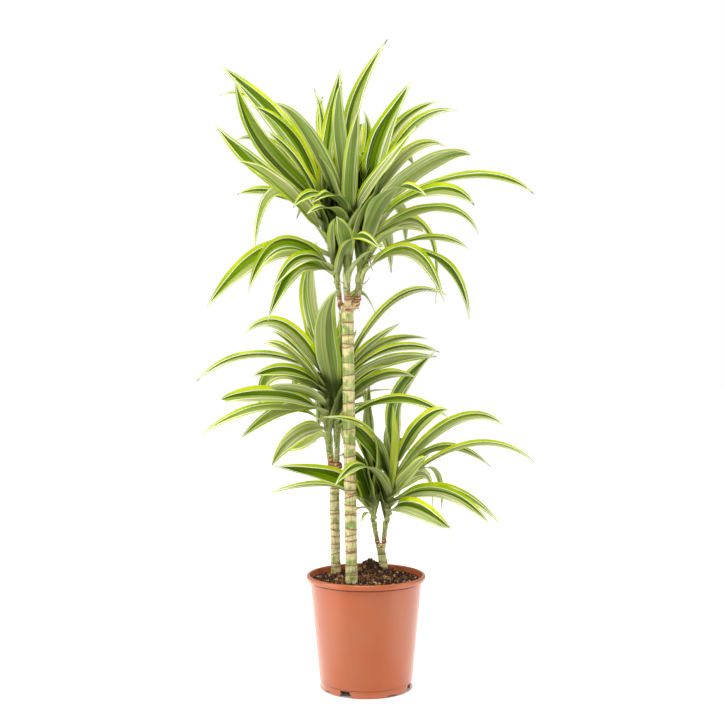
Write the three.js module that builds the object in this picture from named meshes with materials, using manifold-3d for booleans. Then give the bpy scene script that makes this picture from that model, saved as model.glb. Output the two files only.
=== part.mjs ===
// A potted dracaena: three bare canes of different heights, each with a leafy head, standing in
// the soil of a plain plastic nursery pot.
//
// Millimetres, +Z up, -Y is the front. The origin is the middle of the pot's flat underside.
//
// Leaves and stems are placed as they look from the front, from an eye 1.9 m away: a place is
// written as x and z on the upright plane through the pot's axis, and then how far behind that
// plane it really is (less than 0 is nearer the eye). seen() turns that into a point.

import * as THREE from "three";
import { mergeVertices } from "three/addons/utils/BufferGeometryUtils.js";
import Module from "manifold-3d";

const wasm = await Module();
wasm.setup();

// ---------------------------------------------------------------- driving sizes

const EYE = { x: -7.2, distance: 1900, z: 568 };
const GAP = 0.3; // clear space between two pieces that touch on the real plant

const POT = {
  height: 196.5,
  sides: 40,
  rimRadius: 105,
  mouthRadius: 98.6,
  lipHeight: 9.1,
  wallTopRadius: 98,
  wall: 1.8, // at its thinnest, under the rim and behind the groove
  groove: 0.7, // how deep the line between foot and wall is cut
  footTopRadius: 79.6,
  footRadius: 78.4,
  footHeight: 12.4,
  footWidth: 9.4,
  wallFootRadius: 81.4,
  floorBottom: 3.5,
  floorTop: 6.4,
  padRadius: 20,
};

const DRAIN = {
  notchTurns: [-27, 70.5, 153, -109.5], // degrees round from the front
  notchWidth: [22.5, 17], // at the floor and at its top
  notchHeight: 11,
  slotTurns: [34, 124, 214, -56],
  slotWidth: 18,
  slotHeight: 3,
  depth: 14,
  holeRadius: 6.5,
  holeCircle: 44,
  holeCount: 4,
  holeSides: 12,
};

const SOIL = { level: 186, rings: 7, lump: 2.6, moundHeight: 20, mound: [5, 62], moundSpread: 21 };

const CANE_SIDES = 10;
const CANES = {
  tall: {
    foot: [-25, -30],
    top: [-32.6, -30, 666.4],
    radius: 10.3,
    ridge: 0.8,
    buriedTo: 70,
    scarSpacing: [20, 31],
  },
  middle: {
    foot: [-54, 45],
    top: [-57.2, 45, 375.5],
    radius: 8.5,
    ridge: 0.65,
    buriedTo: 85,
    scarSpacing: [18, 27],
  },
  short: {
    foot: [34, 60],
    top: [26, 60, 237],
    radius: 7.7,
    ridge: 0.5,
    buriedTo: 120,
    scarSpacing: [13, 16],
  },
};

const SHOOT = { sides: 6, radius: 5.8, tipRadius: 3.2, narrowsFrom: 0.2, ring: 0.5, ringSpacing: 18 };

const BLADE = {
  thickness: 1.8, // at the midrib; it thins out evenly to both edges
  baseShare: 0.3, // the width where it clasps the shoot, as a share of the full width
  widestAt: 0.4, // along the blade
  tipShare: 0.045,
  taper: 2.4,
  gutter: [0.42, 0.2], // how steeply both halves rise from the midrib, at the base and further out
  opensBy: 0.5, // the share of the length by which the gutter is at its shallowest
  turnsBy: 0.3, // the share of the length by which the blade has turned its face to the front
  launch: [0.9, 0.42], // it sets out partly towards its half-way point and partly along the shoot
  longStep: 50, // millimetres of blade per straight stretch
  bendStep: 85, // degrees of bend that take one stretch more
  fewestSteps: 4,
  mostSteps: 5,
};

// ---------------------------------------------------------------- the heads
// Each shoot is the line of its middle. Each leaf is: shoot, height of its root on the shoot,
// half-way point, tip, full width in mm, and the degrees that its upper face is turned to the
// front. Points are [x, z, depth], as seen() reads them.

const HEADS = {
  tall: {
    callus: { width: 31, height: 19 },
    shoots: {
      left: [[-46, 672, -27], [-49, 698, -24], [-56, 738, -20], [-67, 785, -15], [-75, 852, -10]],
      mid: [[-32, 676, -37], [-34, 700, -32], [-32, 740, -22], [-31, 800, -10], [-31, 868, -2]],
      right: [[-16.5, 674, -28], [-12.5, 700, -25], [-7.5, 722, -21], [0, 750, -15], [6, 858, -5]],
    },
    leaves: [
      // the fan to the upper left
      ["left", 838, [-142, 972, 25], [-253, 1087, 60], 40, 70],
      ["left", 822, [-160, 922, -15], [-231, 1068, -30], 40, 60],
      ["left", 830, [-118, 943, -34], [-204, 1018, -50], 30, 55],
      ["left", 814, [-112, 903, -50], [-176, 975, -85], 30, 60],
      ["mid", 806, [-84, 938, -40], [-160, 1023, -70], 28, -50],
      // upright leaves in the middle
      ["left", 850, [-73, 950, 20], [-91, 1048, 50], 20, 50],
      ["mid", 830, [-47, 955, -45], [-42, 1060, -60], 28, 0],
      ["left", 842, [-64, 965, 4], [-45, 1083, 20], 30, 20],
      ["mid", 814, [-66, 940, 80], [-76, 1034, 130], 28, 20],
      ["mid", 862, [-29, 988, 14], [38, 1135, 20], 28, 75],
      ["mid", 790, [-27, 905, -62], [-12, 1013, -90], 28, 0],
      ["mid", 822, [-4, 920, 22], [-4, 1009, 50], 22, 40],
      // the fan to the upper right
      ["right", 850, [22, 945, -12], [80, 1062, -15], 44, 80],
      ["right", 843, [42, 957, 36], [128, 1026, 70], 26, 45],
      ["right", 836, [62, 957, 6], [160, 1009, 12], 24, 45],
      ["mid", 800, [17, 889, -60], [88, 982, -100], 30, 75],
      ["right", 836, [62, 926, 60], [140, 946, 90], 24, 50],
      ["right", 815, [92, 903, -30], [185, 931, -50], 34, -50],
      ["right", 808, [152, 896, 36], [294, 863, 60], 26, 24],
      ["right", 792, [95, 870, -55], [190, 843, -95], 34, 35],
      ["right", 764, [35, 853, -96], [105, 861, -180], 46, 15],
      ["right", 778, [106, 842, 20], [197, 793, 30], 26, 40],
      ["right", 771, [86, 814, 66], [122, 670, 80], 28, 60],
      ["right", 785, [60, 806, 85], [100, 796, 150], 24, 0],
      // drooping to the right
      ["right", 750, [45, 795, -75], [104, 795, -140], 22, 0],
      ["right", 737, [88, 790, -25], [179, 767, -50], 22, 20],
      ["right", 718, [66, 772, -85], [138, 672, -80], 28, 55],
      ["right", 743, [112, 762, 8], [181, 642, 12], 30, 30],
      // over the front
      ["left", 714, [-28, 779, -95], [28, 762, -140], 24, 25],
      ["mid", 712, [-2, 755, -80], [34, 772, -112], 20, 20],
      ["mid", 826, [-79, 863, -90], [-128, 839, -150], 24, 15],
      ["mid", 796, [-60, 836, -96], [-104, 828, -160], 28, 10],
      ["mid", 812, [-52, 857, -76], [-98, 846, -124], 28, 20],
      ["mid", 738, [-38, 786, -78], [-52, 824, -104], 30, 0],
      ["left", 742, [-62, 786, -60], [-54, 821, -78], 14, 0],
      // drooping to the left
      ["left", 722, [-134, 784, -62], [-207, 690, -85], 32, 60],
      ["left", 750, [-172, 772, -8], [-279, 665, -20], 40, 72],
      ["left", 726, [-108, 758, -100], [-163, 694, -140], 26, 45],
      ["left", 716, [-114, 742, -30], [-173, 640, -42], 32, 68],
      ["left", 790, [-143, 867, 35], [-198, 749, 50], 30, 85],
      ["left", 806, [-146, 860, 60], [-226, 862, 100], 26, 30],
      ["left", 792, [-158, 882, -56], [-265, 985, -80], 38, 60],
      ["left", 767, [-136, 861, -84], [-227, 922, -130], 38, 62],
      ["left", 782, [-98, 846, 75], [-138, 866, 140], 24, 0],
      ["left", 834, [-150, 985, 60], [-258, 1036, 90], 20, 40],
      ["left", 810, [-140, 925, 60], [-233, 955, 90], 26, 30],
      // at the back
      ["mid", 846, [-20, 955, 125], [-12, 975, 225], 36, 0],
      ["left", 846, [-96, 925, 115], [-150, 942, 205], 34, 0],
      ["right", 822, [42, 915, 120], [84, 912, 215], 34, 0],
      ["left", 775, [-84, 862, 125], [-122, 820, 220], 34, 0],
      ["mid", 774, [-22, 850, 125], [-24, 785, 225], 34, 0],
      ["right", 757, [42, 838, 120], [70, 770, 205], 34, 0],
      ["left", 742, [-44, 800, 110], [-44, 728, 190], 30, 0],
      ["right", 730, [26, 790, 100], [44, 724, 175], 30, 0],
    ],
  },
  middle: {
    callus: { width: 27, height: 15 },
    shoots: {
      left: [[-62, 388, 45], [-66, 420, 44], [-69, 455, 42], [-68, 500, 40], [-65, 552, 38]],
      right: [[-51, 388, 45], [-51, 420, 44], [-52, 460, 42], [-53, 500, 40], [-54, 540, 38]],
    },
    leaves: [
      // upright
      ["left", 545, [-94, 655, 72], [-86, 780, 92], 44, 72],
      ["right", 494, [-70, 597, -4], [-51, 696, -58], 44, 0],
      ["right", 532, [-46, 592, 34], [-48, 668, 24], 20, 60],
      // to the left, from the top down
      ["left", 508, [-116, 582, -22], [-165, 622, -50], 20, 45],
      ["left", 525, [-128, 620, 70], [-214, 617, 110], 28, 60],
      ["left", 500, [-120, 572, 2], [-178, 600, 8], 22, 45],
      ["left", 530, [-180, 580, 40], [-298, 534, 62], 20, 35],
      ["left", 505, [-122, 555, -24], [-200, 543, -70], 30, 45],
      ["left", 500, [-142, 550, -6], [-186, 480, -4], 30, 65],
      ["left", 484, [-126, 518, -48], [-192, 510, -90], 28, -30],
      ["left", 470, [-160, 512, -92], [-257, 501, -135], 36, 50],
      ["left", 456, [-170, 489, -40], [-290, 439, -44], 20, 45],
      ["left", 478, [-140, 487, -20], [-222, 432, -34], 24, 66],
      ["left", 446, [-124, 450, -44], [-166, 383, -66], 30, 74],
      ["left", 434, [-98, 436, 70], [-141, 413, 104], 26, 70],
      ["left", 448, [-65, 398, 108], [-60, 250, 118], 26, 60],
      // to the right, behind the tall cane
      ["right", 508, [22, 649, 34], [142, 685, 6], 20, 42],
      ["right", 520, [-4, 590, 80], [59, 636, 135], 16, 40],
      ["right", 512, [24, 582, 26], [129, 585, 30], 24, 25],
      ["right", 500, [24, 563, 72], [124, 577, 104], 26, 45],
      ["right", 514, [16, 592, 112], [107, 609, 180], 24, 25],
      ["right", 482, [-12, 536, 30], [44, 562, 60], 16, 30],
      ["right", 470, [8, 534, 50], [87, 541, 92], 28, 35],
      ["right", 464, [-6, 510, 125], [46, 519, 200], 22, 0],
      ["right", 457, [-21, 488, 4], [20, 505, -64], 20, 0],
      ["right", 446, [36, 500, 14], [147, 468, -14], 24, 34],
      ["right", 528, [-34, 656, 70], [16, 654, 92], 20, 35],
      // at the back
      ["left", 538, [-84, 620, 140], [-104, 640, 230], 34, 0],
      ["right", 526, [-34, 610, 140], [-12, 622, 230], 34, 0],
      ["left", 491, [-100, 545, 140], [-132, 505, 230], 32, 0],
      ["right", 476, [-26, 540, 150], [-2, 492, 232], 32, 0],
      ["left", 455, [-76, 505, 135], [-86, 440, 205], 30, 0],
      ["right", 443, [-46, 480, 125], [-34, 408, 192], 30, 0],
    ],
  },
  short: {
    callus: { width: 23, height: 11 },
    shoots: {
      left: [[20, 253, 59], [16, 272, 57], [11.5, 298, 55], [12, 335, 52], [16, 374, 50]],
      right: [[31, 253, 59], [33, 272, 57], [38, 300, 55], [44, 340, 52], [47, 386, 50]],
    },
    leaves: [
      // to the left, before and behind the tall cane
      ["right", 318, [8, 387, -24], [-55, 351, -98], 34, 10],
      ["right", 341, [18, 434, -18], [-78, 471, -112], 22, 35],
      ["left", 306, [-48, 362, -2], [-162, 385, -8], 34, 62],
      ["left", 299, [-60, 350, 18], [-174, 336, 40], 16, 20],
      ["right", 350, [8, 418, 14], [-46, 470, 18], 36, 66],
      ["left", 346, [-8, 388, 22], [-46, 404, 12], 30, 50],
      ["left", 306, [3, 376, 14], [-22, 450, 12], 36, 66],
      ["left", 310, [24, 374, 20], [12, 446, 24], 28, 50],
      ["left", 290, [-4, 352, 34], [-30, 424, 60], 36, 70],
      ["right", 296, [22, 356, 34], [8, 430, 40], 34, 60],
      ["left", 296, [2, 303, 24], [-9, 286, 0], 10, 0],
      ["left", 303, [-4, 312, 14], [-20, 306, -6], 13, 0],
      // upright
      ["left", 366, [9, 448, 74], [6, 530, 92], 36, 72],
      ["right", 378, [44, 484, 84], [121, 586, 150], 40, 75],
      ["right", 322, [50, 408, 2], [46, 492, -10], 14, 0],
      ["right", 371, [38, 415, 26], [37, 460, 10], 14, 0],
      // to the right
      ["right", 364, [86, 444, -10], [145, 484, -40], 34, 75],
      ["right", 353, [136, 453, 64], [244, 455, 84], 24, 44],
      ["right", 331, [160, 417, 26], [298, 390, 30], 16, 34],
      ["right", 347, [120, 414, 84], [220, 383, 130], 22, 22],
      ["right", 316, [78, 370, -46], [110, 406, -84], 34, 80],
      ["right", 336, [106, 382, 112], [132, 305, 178], 18, 0],
      ["right", 326, [92, 372, 100], [116, 304, 140], 26, 60],
      ["right", 310, [118, 341, -28], [217, 284, -58], 28, 52],
      ["right", 318, [132, 347, 22], [239, 280, 20], 20, 42],
      ["right", 300, [86, 311, -80], [152, 274, -140], 34, 52],
      // at the back
      ["left", 360, [-4, 430, 140], [-16, 428, 228], 32, 0],
      ["right", 365, [62, 445, 150], [88, 432, 236], 32, 0],
      ["left", 330, [-10, 368, 145], [-28, 312, 215], 30, 0],
      ["right", 340, [44, 395, 150], [58, 334, 232], 30, 0],
    ],
  },
};

const COLOURS = {
  pot: 0xc97a52,
  soil: 0x3b2a20,
  cane: 0xc9c08a,
  leaf: 0x7fa045,
};

// ---------------------------------------------------------------- shared geometry

const vec = (x, y, z) => new THREE.Vector3(x, y, z);
const smooth = (t) => THREE.MathUtils.smoothstep(t, 0, 1);

// A place as it looks from the eye, moved along its line of sight to its real depth.
function seen([x, z, depth]) {
  const reach = (EYE.distance + depth) / EYE.distance;
  return vec(EYE.x + (x - EYE.x) * reach, depth, EYE.z + (z - EYE.z) * reach);
}

// A steady spread of shares between 0 and 1, used for what differs from piece to piece.
function spread(count) {
  const GOLDEN = 0.6180339887498949;
  return (count * GOLDEN) % 1;
}

// The closed solid of a geometry: shared corners joined, empty faces dropped, faces outwards.
function solid(geometry) {
  const bare = new THREE.BufferGeometry();
  bare.setAttribute("position", geometry.getAttribute("position").clone());
  bare.setIndex(geometry.getIndex());
  const merged = mergeVertices(bare, 1e-4);
  const corners = merged.getAttribute("position");
  const index = merged.getIndex().array;
  const faces = [];
  for (let i = 0; i < index.length; i += 3) {
    const [a, b, c] = [index[i], index[i + 1], index[i + 2]];
    if (a !== b && b !== c && c !== a) faces.push([a, b, c]);
  }
  const at = (i) => vec().fromBufferAttribute(corners, i);
  const volume = faces.reduce((sum, [a, b, c]) => sum + at(a).dot(at(b).cross(at(c))), 0);
  const outward = volume > 0 ? faces : faces.map(([a, b, c]) => [a, c, b]);
  return new wasm.Manifold(new wasm.Mesh({
    numProp: 3,
    vertProperties: new Float32Array(corners.array),
    triVerts: new Uint32Array(outward.flat()),
  }));
}

// The geometry of a closed solid, with flat faces.
function geometryOf(body) {
  const mesh = body.getMesh();
  const geometry = new THREE.BufferGeometry();
  geometry.setAttribute("position", new THREE.BufferAttribute(mesh.vertProperties, 3));
  geometry.setIndex(new THREE.BufferAttribute(mesh.triVerts, 1));
  const flat = geometry.toNonIndexed();
  flat.computeVertexNormals();
  return flat;
}

function namedMesh(name, body, colour, roughness) {
  const material = new THREE.MeshStandardMaterial({ color: colour, roughness, metalness: 0 });
  const mesh = new THREE.Mesh(geometryOf(body), material);
  mesh.name = name;
  return mesh;
}

// The outer skin of the largest piece: small spaces that joining has sealed in are filled.
function largest(body) {
  return body.decompose().reduce((best, piece) => (piece.volume() > best.volume() ? piece : best));
}

// A turned solid from a half outline of [radius, height] pairs, upright on Z.
function turned(outline, sides) {
  const profile = outline.map(([radius, height]) => new THREE.Vector2(radius, height));
  return new THREE.LatheGeometry(profile, sides).rotateX(Math.PI / 2);
}

// A closed skin over rings of equally many points. splitOther says which strips are cut along
// their other diagonal, and caps lists the triangles of a ring, as corner numbers.
function lofted(rings, caps, splitOther = () => false) {
  const around = rings[0].length;
  const last = (rings.length - 1) * around;
  const index = [];
  for (let ring = 0; ring < rings.length - 1; ring += 1) {
    for (let k = 0; k < around; k += 1) {
      const a = ring * around + k;
      const b = ring * around + ((k + 1) % around);
      const [c, d] = [b + around, a + around];
      if (splitOther(k)) index.push(a, b, d, b, c, d);
      else index.push(a, b, c, a, c, d);
    }
  }
  for (const [a, b, c] of caps) {
    index.push(a, c, b);
    index.push(last + a, last + b, last + c);
  }
  const geometry = new THREE.BufferGeometry();
  geometry.setAttribute("position", new THREE.Float32BufferAttribute(
    rings.flat().flatMap((point) => point.toArray()), 3));
  geometry.setIndex(index);
  return geometry;
}

function fan(around) {
  return Array.from({ length: around - 2 }, (_, k) => [0, k + 1, k + 2]);
}

// A round stem through points. The radius and the lift of a ring's corners depend on which ring
// it is and on the angle round it. Rings lie square to the stem, or level where level is set.
function stem(points, sides, radiusAt, liftAt = () => 0, level = false) {
  const rings = points.map((point, i) => {
    const before = points[Math.max(i - 1, 0)];
    const after = points[Math.min(i + 1, points.length - 1)];
    const along = level ? vec(0, 0, 1) : after.clone().sub(before).normalize();
    const front = vec(0, 1, 0).addScaledVector(along, -along.y).normalize();
    const right = front.clone().cross(along);
    return Array.from({ length: sides }, (_, k) => {
      const angle = (2 * Math.PI * k) / sides;
      const radius = radiusAt(i, angle);
      return point.clone()
        .addScaledVector(right, radius * Math.cos(angle))
        .addScaledVector(front, radius * Math.sin(angle))
        .addScaledVector(along, liftAt(i, angle));
    });
  });
  return lofted(rings, fan(sides));
}

// ---------------------------------------------------------------- pot

// Radius of the inside of the wall at a height.
function insideRadius(height) {
  const low = POT.footTopRadius - POT.groove - POT.wall;
  const high = POT.wallTopRadius - POT.wall;
  return THREE.MathUtils.mapLinear(height, POT.footHeight, POT.height - POT.lipHeight, low, high);
}

function potOutline() {
  const { height, rimRadius, mouthRadius, lipHeight, wallTopRadius, footRadius } = POT;
  const { footTopRadius, footHeight, wallFootRadius, floorBottom, floorTop, padRadius } = POT;
  const footInner = footRadius - POT.footWidth;
  const lip = height - lipHeight;
  return [
    [0, 0],
    [padRadius, 0],
    [padRadius + 2, floorBottom],
    [footInner - 1.5, floorBottom],
    [footInner, 0],
    [footRadius, 0],
    [footTopRadius, footHeight],
    [footTopRadius - POT.groove, footHeight + 0.4],
    [wallFootRadius, footHeight + 1.2],
    [wallTopRadius, lip],
    [rimRadius - 1.6, lip],
    [rimRadius - 0.2, lip + 1.3],
    [rimRadius, lip + 4],
    [rimRadius - 0.5, height - 2.2],
    [rimRadius - 2, height - 0.5],
    [rimRadius - 3.6, height],
    [mouthRadius + 1, height - 0.7],
    [mouthRadius, height - 2.4],
    [insideRadius(lip), lip],
    [insideRadius(floorTop + 2), floorTop + 2],
    [insideRadius(floorTop + 2) - 1.8, floorTop],
    [0, floorTop],
  ];
}

// A wedge that cuts the foot from outside to inside, at an angle from the front.
function footCutter(turn, [widthBelow, widthAbove], height) {
  const BELOW = 2; // the cutter starts under the floor, so that it leaves no skin
  const flare = (widthBelow - widthAbove) / 2 / height;
  const [low, high] = [widthBelow / 2 + flare * BELOW, widthAbove / 2];
  const shape = new THREE.Shape([
    new THREE.Vector2(-low, -BELOW),
    new THREE.Vector2(low, -BELOW),
    new THREE.Vector2(high, height),
    new THREE.Vector2(-high, height),
  ]);
  const block = new THREE.ExtrudeGeometry(shape, { depth: DRAIN.depth, bevelEnabled: false });
  block.rotateX(Math.PI / 2);
  block.translate(0, -(POT.footRadius + 3 - DRAIN.depth), 0);
  block.rotateZ(THREE.MathUtils.degToRad(turn));
  return solid(block);
}

function drainHole(turn) {
  const drill = new THREE.CylinderGeometry(
    DRAIN.holeRadius, DRAIN.holeRadius, 4 * POT.floorTop, DRAIN.holeSides);
  drill.rotateX(Math.PI / 2);
  drill.translate(DRAIN.holeCircle * Math.cos(turn), DRAIN.holeCircle * Math.sin(turn), 0);
  return solid(drill);
}

function pot() {
  const cutters = [
    ...DRAIN.notchTurns.map((turn) => footCutter(turn, DRAIN.notchWidth, DRAIN.notchHeight)),
    ...DRAIN.slotTurns.map(
      (turn) => footCutter(turn, [DRAIN.slotWidth, DRAIN.slotWidth], DRAIN.slotHeight)),
  ];
  for (let i = 0; i < DRAIN.holeCount; i += 1) {
    cutters.push(drainHole((2 * Math.PI * (i + 0.5)) / DRAIN.holeCount));
  }
  const body = solid(turned(potOutline(), POT.sides));
  return body.subtract(wasm.Manifold.union(cutters));
}

// ---------------------------------------------------------------- canes

// A point on a cane's middle line at a height.
function onCane({ foot, top }, height) {
  const [footX, footY] = foot;
  const [topX, topY, topZ] = top;
  const share = (height - SOIL.level) / (topZ - SOIL.level);
  return vec(footX + share * (topX - footX), footY + share * (topY - footY), height);
}

// Heights of the leaf scars, from the soil to the top, further apart higher up.
function scarHeights({ scarSpacing, top: [, , top] }) {
  const END = 12; // none this near the soil or the cut
  const [low, high] = scarSpacing;
  const heights = [];
  let height = SOIL.level + END;
  while (height < top - END) {
    heights.push(height);
    const share = (height - SOIL.level) / (top - SOIL.level);
    height += (low + (high - low) * share) * (0.85 + 0.3 * spread(heights.length));
  }
  return heights;
}

// A bare cane: round below the soil, and above it a low, tilted ridge at each leaf scar.
function cane(sizes) {
  const FLANK = 2.6; // half the height of a ridge
  const TILT = 0.2;
  const levels = [{ height: sizes.buriedTo, ridge: 0, tilt: 0, turn: 0 }];
  scarHeights(sizes).forEach((height, i) => {
    const turn = 2 * Math.PI * spread(i + 1);
    const tilt = TILT * (0.4 + spread(2 * i + 1));
    levels.push({ height: height - FLANK, ridge: 0, tilt, turn });
    levels.push({ height, ridge: sizes.ridge, tilt, turn });
    levels.push({ height: height + FLANK, ridge: 0, tilt, turn });
  });
  levels.push({ height: sizes.top[2], ridge: 0, tilt: 0, turn: 0 });
  return solid(stem(
    levels.map(({ height }) => onCane(sizes, height)),
    CANE_SIDES,
    (i) => sizes.radius + levels[i].ridge,
    (i, angle) => levels[i].tilt * sizes.radius * Math.cos(angle - levels[i].turn),
    true,
  ));
}

// ---------------------------------------------------------------- soil

// Height of the soil over a point: soft lumps, and a mound at the back between the canes.
function soilHeight(x, y) {
  const lumps = Math.sin(x / 7.3 + 1.1) * Math.cos(y / 6.1)
    + 0.6 * Math.sin((x + 2 * y) / 9.7) * Math.cos((2 * x - y) / 8.3 + 0.7);
  const [moundX, moundY] = SOIL.mound;
  const away = Math.hypot(x - moundX, y - moundY) / SOIL.moundSpread;
  return SOIL.level + SOIL.lump * lumps + SOIL.moundHeight * Math.exp(-away * away);
}

function soil() {
  const bottom = POT.floorTop + GAP;
  const corner = POT.floorTop + 2 + GAP;
  const edge = insideRadius(SOIL.level - SOIL.lump) - 2 * GAP;
  const outline = [
    [0, bottom],
    [insideRadius(corner) - 2 - 2 * GAP, bottom],
    [insideRadius(corner) - 2 * GAP, corner],
  ];
  for (let ring = SOIL.rings; ring >= 0; ring -= 1) {
    outline.push([(edge * ring) / SOIL.rings, SOIL.level]);
  }
  const body = turned(outline, POT.sides);
  const corners = body.getAttribute("position");
  for (let i = 0; i < corners.count; i += 1) {
    if (corners.getZ(i) < SOIL.level - 1) continue;
    const [x, y] = [corners.getX(i), corners.getY(i)];
    const inside = 1 - smooth((Math.hypot(x, y) / edge - 0.86) / 0.14);
    const height = SOIL.level - SOIL.lump + inside * (soilHeight(x, y) - SOIL.level + SOIL.lump);
    corners.setZ(i, height);
  }
  const holes = Object.values(CANES).map((sizes) => {
    const ABOVE = 60;
    const ends = [onCane(sizes, sizes.buriedTo - GAP), onCane(sizes, SOIL.level + ABOVE)];
    return solid(stem(ends, CANE_SIDES, () => sizes.radius + GAP, () => 0, true));
  });
  return solid(body).subtract(wasm.Manifold.union(holes));
}

// ---------------------------------------------------------------- leaves and heads

// The point and direction of a shoot at a height, read as seen from the front.
function onShoot(line, height) {
  let step = 0;
  while (step < line.length - 2 && line[step + 1][1] < height) step += 1;
  const [low, high] = [line[step], line[step + 1]];
  const share = (height - low[1]) / (high[1] - low[1]);
  const place = low.map((value, i) => value + share * (high[i] - value));
  return { point: seen(place), along: seen(high).sub(seen(low)).normalize() };
}

// The midrib: it leaves the shoot steeply, passes the half-way point and ends at the tip.
function midrib(root, along, half, tip) {
  const length = root.distanceTo(half) + half.distanceTo(tip);
  const [outwards, upwards] = BLADE.launch;
  const start = half.clone().sub(root).normalize().multiplyScalar(outwards)
    .addScaledVector(along, upwards).normalize();
  const first = root.clone().addScaledVector(start, length / 3);
  const second = half.clone().multiplyScalar(8).sub(root).addScaledVector(first, -3).sub(tip)
    .divideScalar(3);
  return new THREE.CubicBezierCurve3(root, first, second, tip);
}

// Full width of a blade at a share of its length.
function bladeWidth(width, t) {
  const { baseShare, widestAt, tipShare, taper } = BLADE;
  const rise = baseShare + (1 - baseShare) * smooth(t / widestAt);
  const fall = 1 - Math.max(0, (t - widestAt) / (1 - widestAt)) ** taper;
  return width * Math.max(rise * fall, tipShare);
}

// How far along the blade each cross-section lies.
function bladeStations(length, bend) {
  const { longStep, bendStep, fewestSteps, mostSteps } = BLADE;
  const wanted = Math.round(length / longStep + bend / bendStep);
  const steps = Math.min(Math.max(wanted, fewestSteps), mostSteps);
  return Array.from({ length: steps + 1 }, (_, i) => i / steps);
}

// One leaf: a thin strap with a shallow gutter, widest before its middle, with a long tip.
function blade([, , , , width, turn], curve, outward) {
  const length = curve.getLength();
  const bend = THREE.MathUtils.radToDeg(curve.getTangent(0).angleTo(curve.getTangent(1)));
  const side = vec(0, 0, 1).cross(outward).normalize();
  const middle = curve.getTangent(0.5);
  const handed = middle.clone().cross(middle.clone().cross(side)).y <= 0 ? 1 : -1;
  const rings = bladeStations(length, bend).map((t) => {
    const point = curve.getPoint(t);
    const along = curve.getTangent(t);
    const natural = along.clone().cross(side).normalize();
    const across = along.clone().cross(natural).multiplyScalar(handed);
    const angle = THREE.MathUtils.degToRad(turn) * smooth(t / BLADE.turnsBy);
    const up = natural.multiplyScalar(Math.cos(angle)).addScaledVector(across, Math.sin(angle));
    const right = along.clone().cross(up).normalize();
    const half = bladeWidth(width, t) / 2;
    const [steep, shallow] = BLADE.gutter;
    const rise = half * (steep + (shallow - steep) * smooth(t / BLADE.opensBy));
    const edge = (u) => point.clone().addScaledVector(right, u * half).addScaledVector(up, rise);
    const rib = (lift) => point.clone().addScaledVector(up, lift);
    return [edge(-1), rib(BLADE.thickness / 2), edge(1), rib(-BLADE.thickness / 2)];
  });
  const UNDERSIDE = [2, 3];
  return solid(lofted(rings, [[0, 1, 3], [1, 2, 3]], (k) => UNDERSIDE.includes(k)));
}

function leaf(shoots, row) {
  const [shoot, height, half, tip] = row;
  const { point, along } = onShoot(shoots[shoot], height);
  const [halfPoint, tipPoint] = [seen(half), seen(tip)];
  const outward = halfPoint.clone().sub(point).add(tipPoint).sub(point).setZ(0).normalize();
  return blade(row, midrib(point, along, halfPoint, tipPoint), outward);
}

// A green shoot: a ringed stem that narrows to a bud.
function shoot(line) {
  const bottom = line[0][1];
  const top = line[line.length - 1][1];
  const steps = Math.round((top - bottom) / SHOOT.ringSpacing);
  const points = [];
  for (let i = 0; i <= steps; i += 1) {
    points.push(onShoot(line, bottom + ((top - bottom) * i) / steps).point);
  }
  return solid(stem(points, SHOOT.sides, (i) => {
    const narrowing = smooth(i / steps - SHOOT.narrowsFrom);
    const narrowed = SHOOT.radius + (SHOOT.tipRadius - SHOOT.radius) * narrowing;
    return narrowed + (i % 2 ? SHOOT.ring : 0);
  }));
}

// The swollen callus that the shoots break from, on the cut end of the cane.
function callus({ top: [x, y, z], radius }, { width, height }) {
  const outline = [
    [0, 0],
    [radius - 1, 0],
    [0.46 * width, 0.22 * height],
    [0.5 * width, 0.5 * height],
    [0.42 * width, 0.8 * height],
    [0.2 * width, height],
    [0, height],
  ];
  return solid(turned(outline, CANE_SIDES).translate(x, y, z + GAP));
}

function head(name) {
  const { callus: lump, shoots, leaves } = HEADS[name];
  return largest(wasm.Manifold.union([
    callus(CANES[name], lump),
    ...Object.values(shoots).map(shoot),
    ...leaves.map((row) => leaf(shoots, row)),
  ]));
}

// ---------------------------------------------------------------- the object

const group = new THREE.Group();
group.add(namedMesh("pot", pot(), COLOURS.pot, 0.55));
group.add(namedMesh("soil", soil(), COLOURS.soil, 0.95));
for (const name of Object.keys(CANES)) {
  group.add(namedMesh(`${name}_cane`, cane(CANES[name]), COLOURS.cane, 0.7));
  group.add(namedMesh(`${name}_crown`, head(name), COLOURS.leaf, 0.45));
}

export default group;
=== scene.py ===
"""A potted dracaena: three bare canes with striped, leafy heads, in a plain nursery pot.

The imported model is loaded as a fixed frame, and each class below dresses the nodes of one
sub-assembly with finer pieces in the same place. Lengths are metres, +Z is up and -Y is the front.
Tables that are easier to read in millimetres are turned into metres where they are used.
"""

from __future__ import annotations

import logging
import math
from collections.abc import Sequence
from dataclasses import dataclass
from enum import Enum
from typing import NamedTuple

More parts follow.
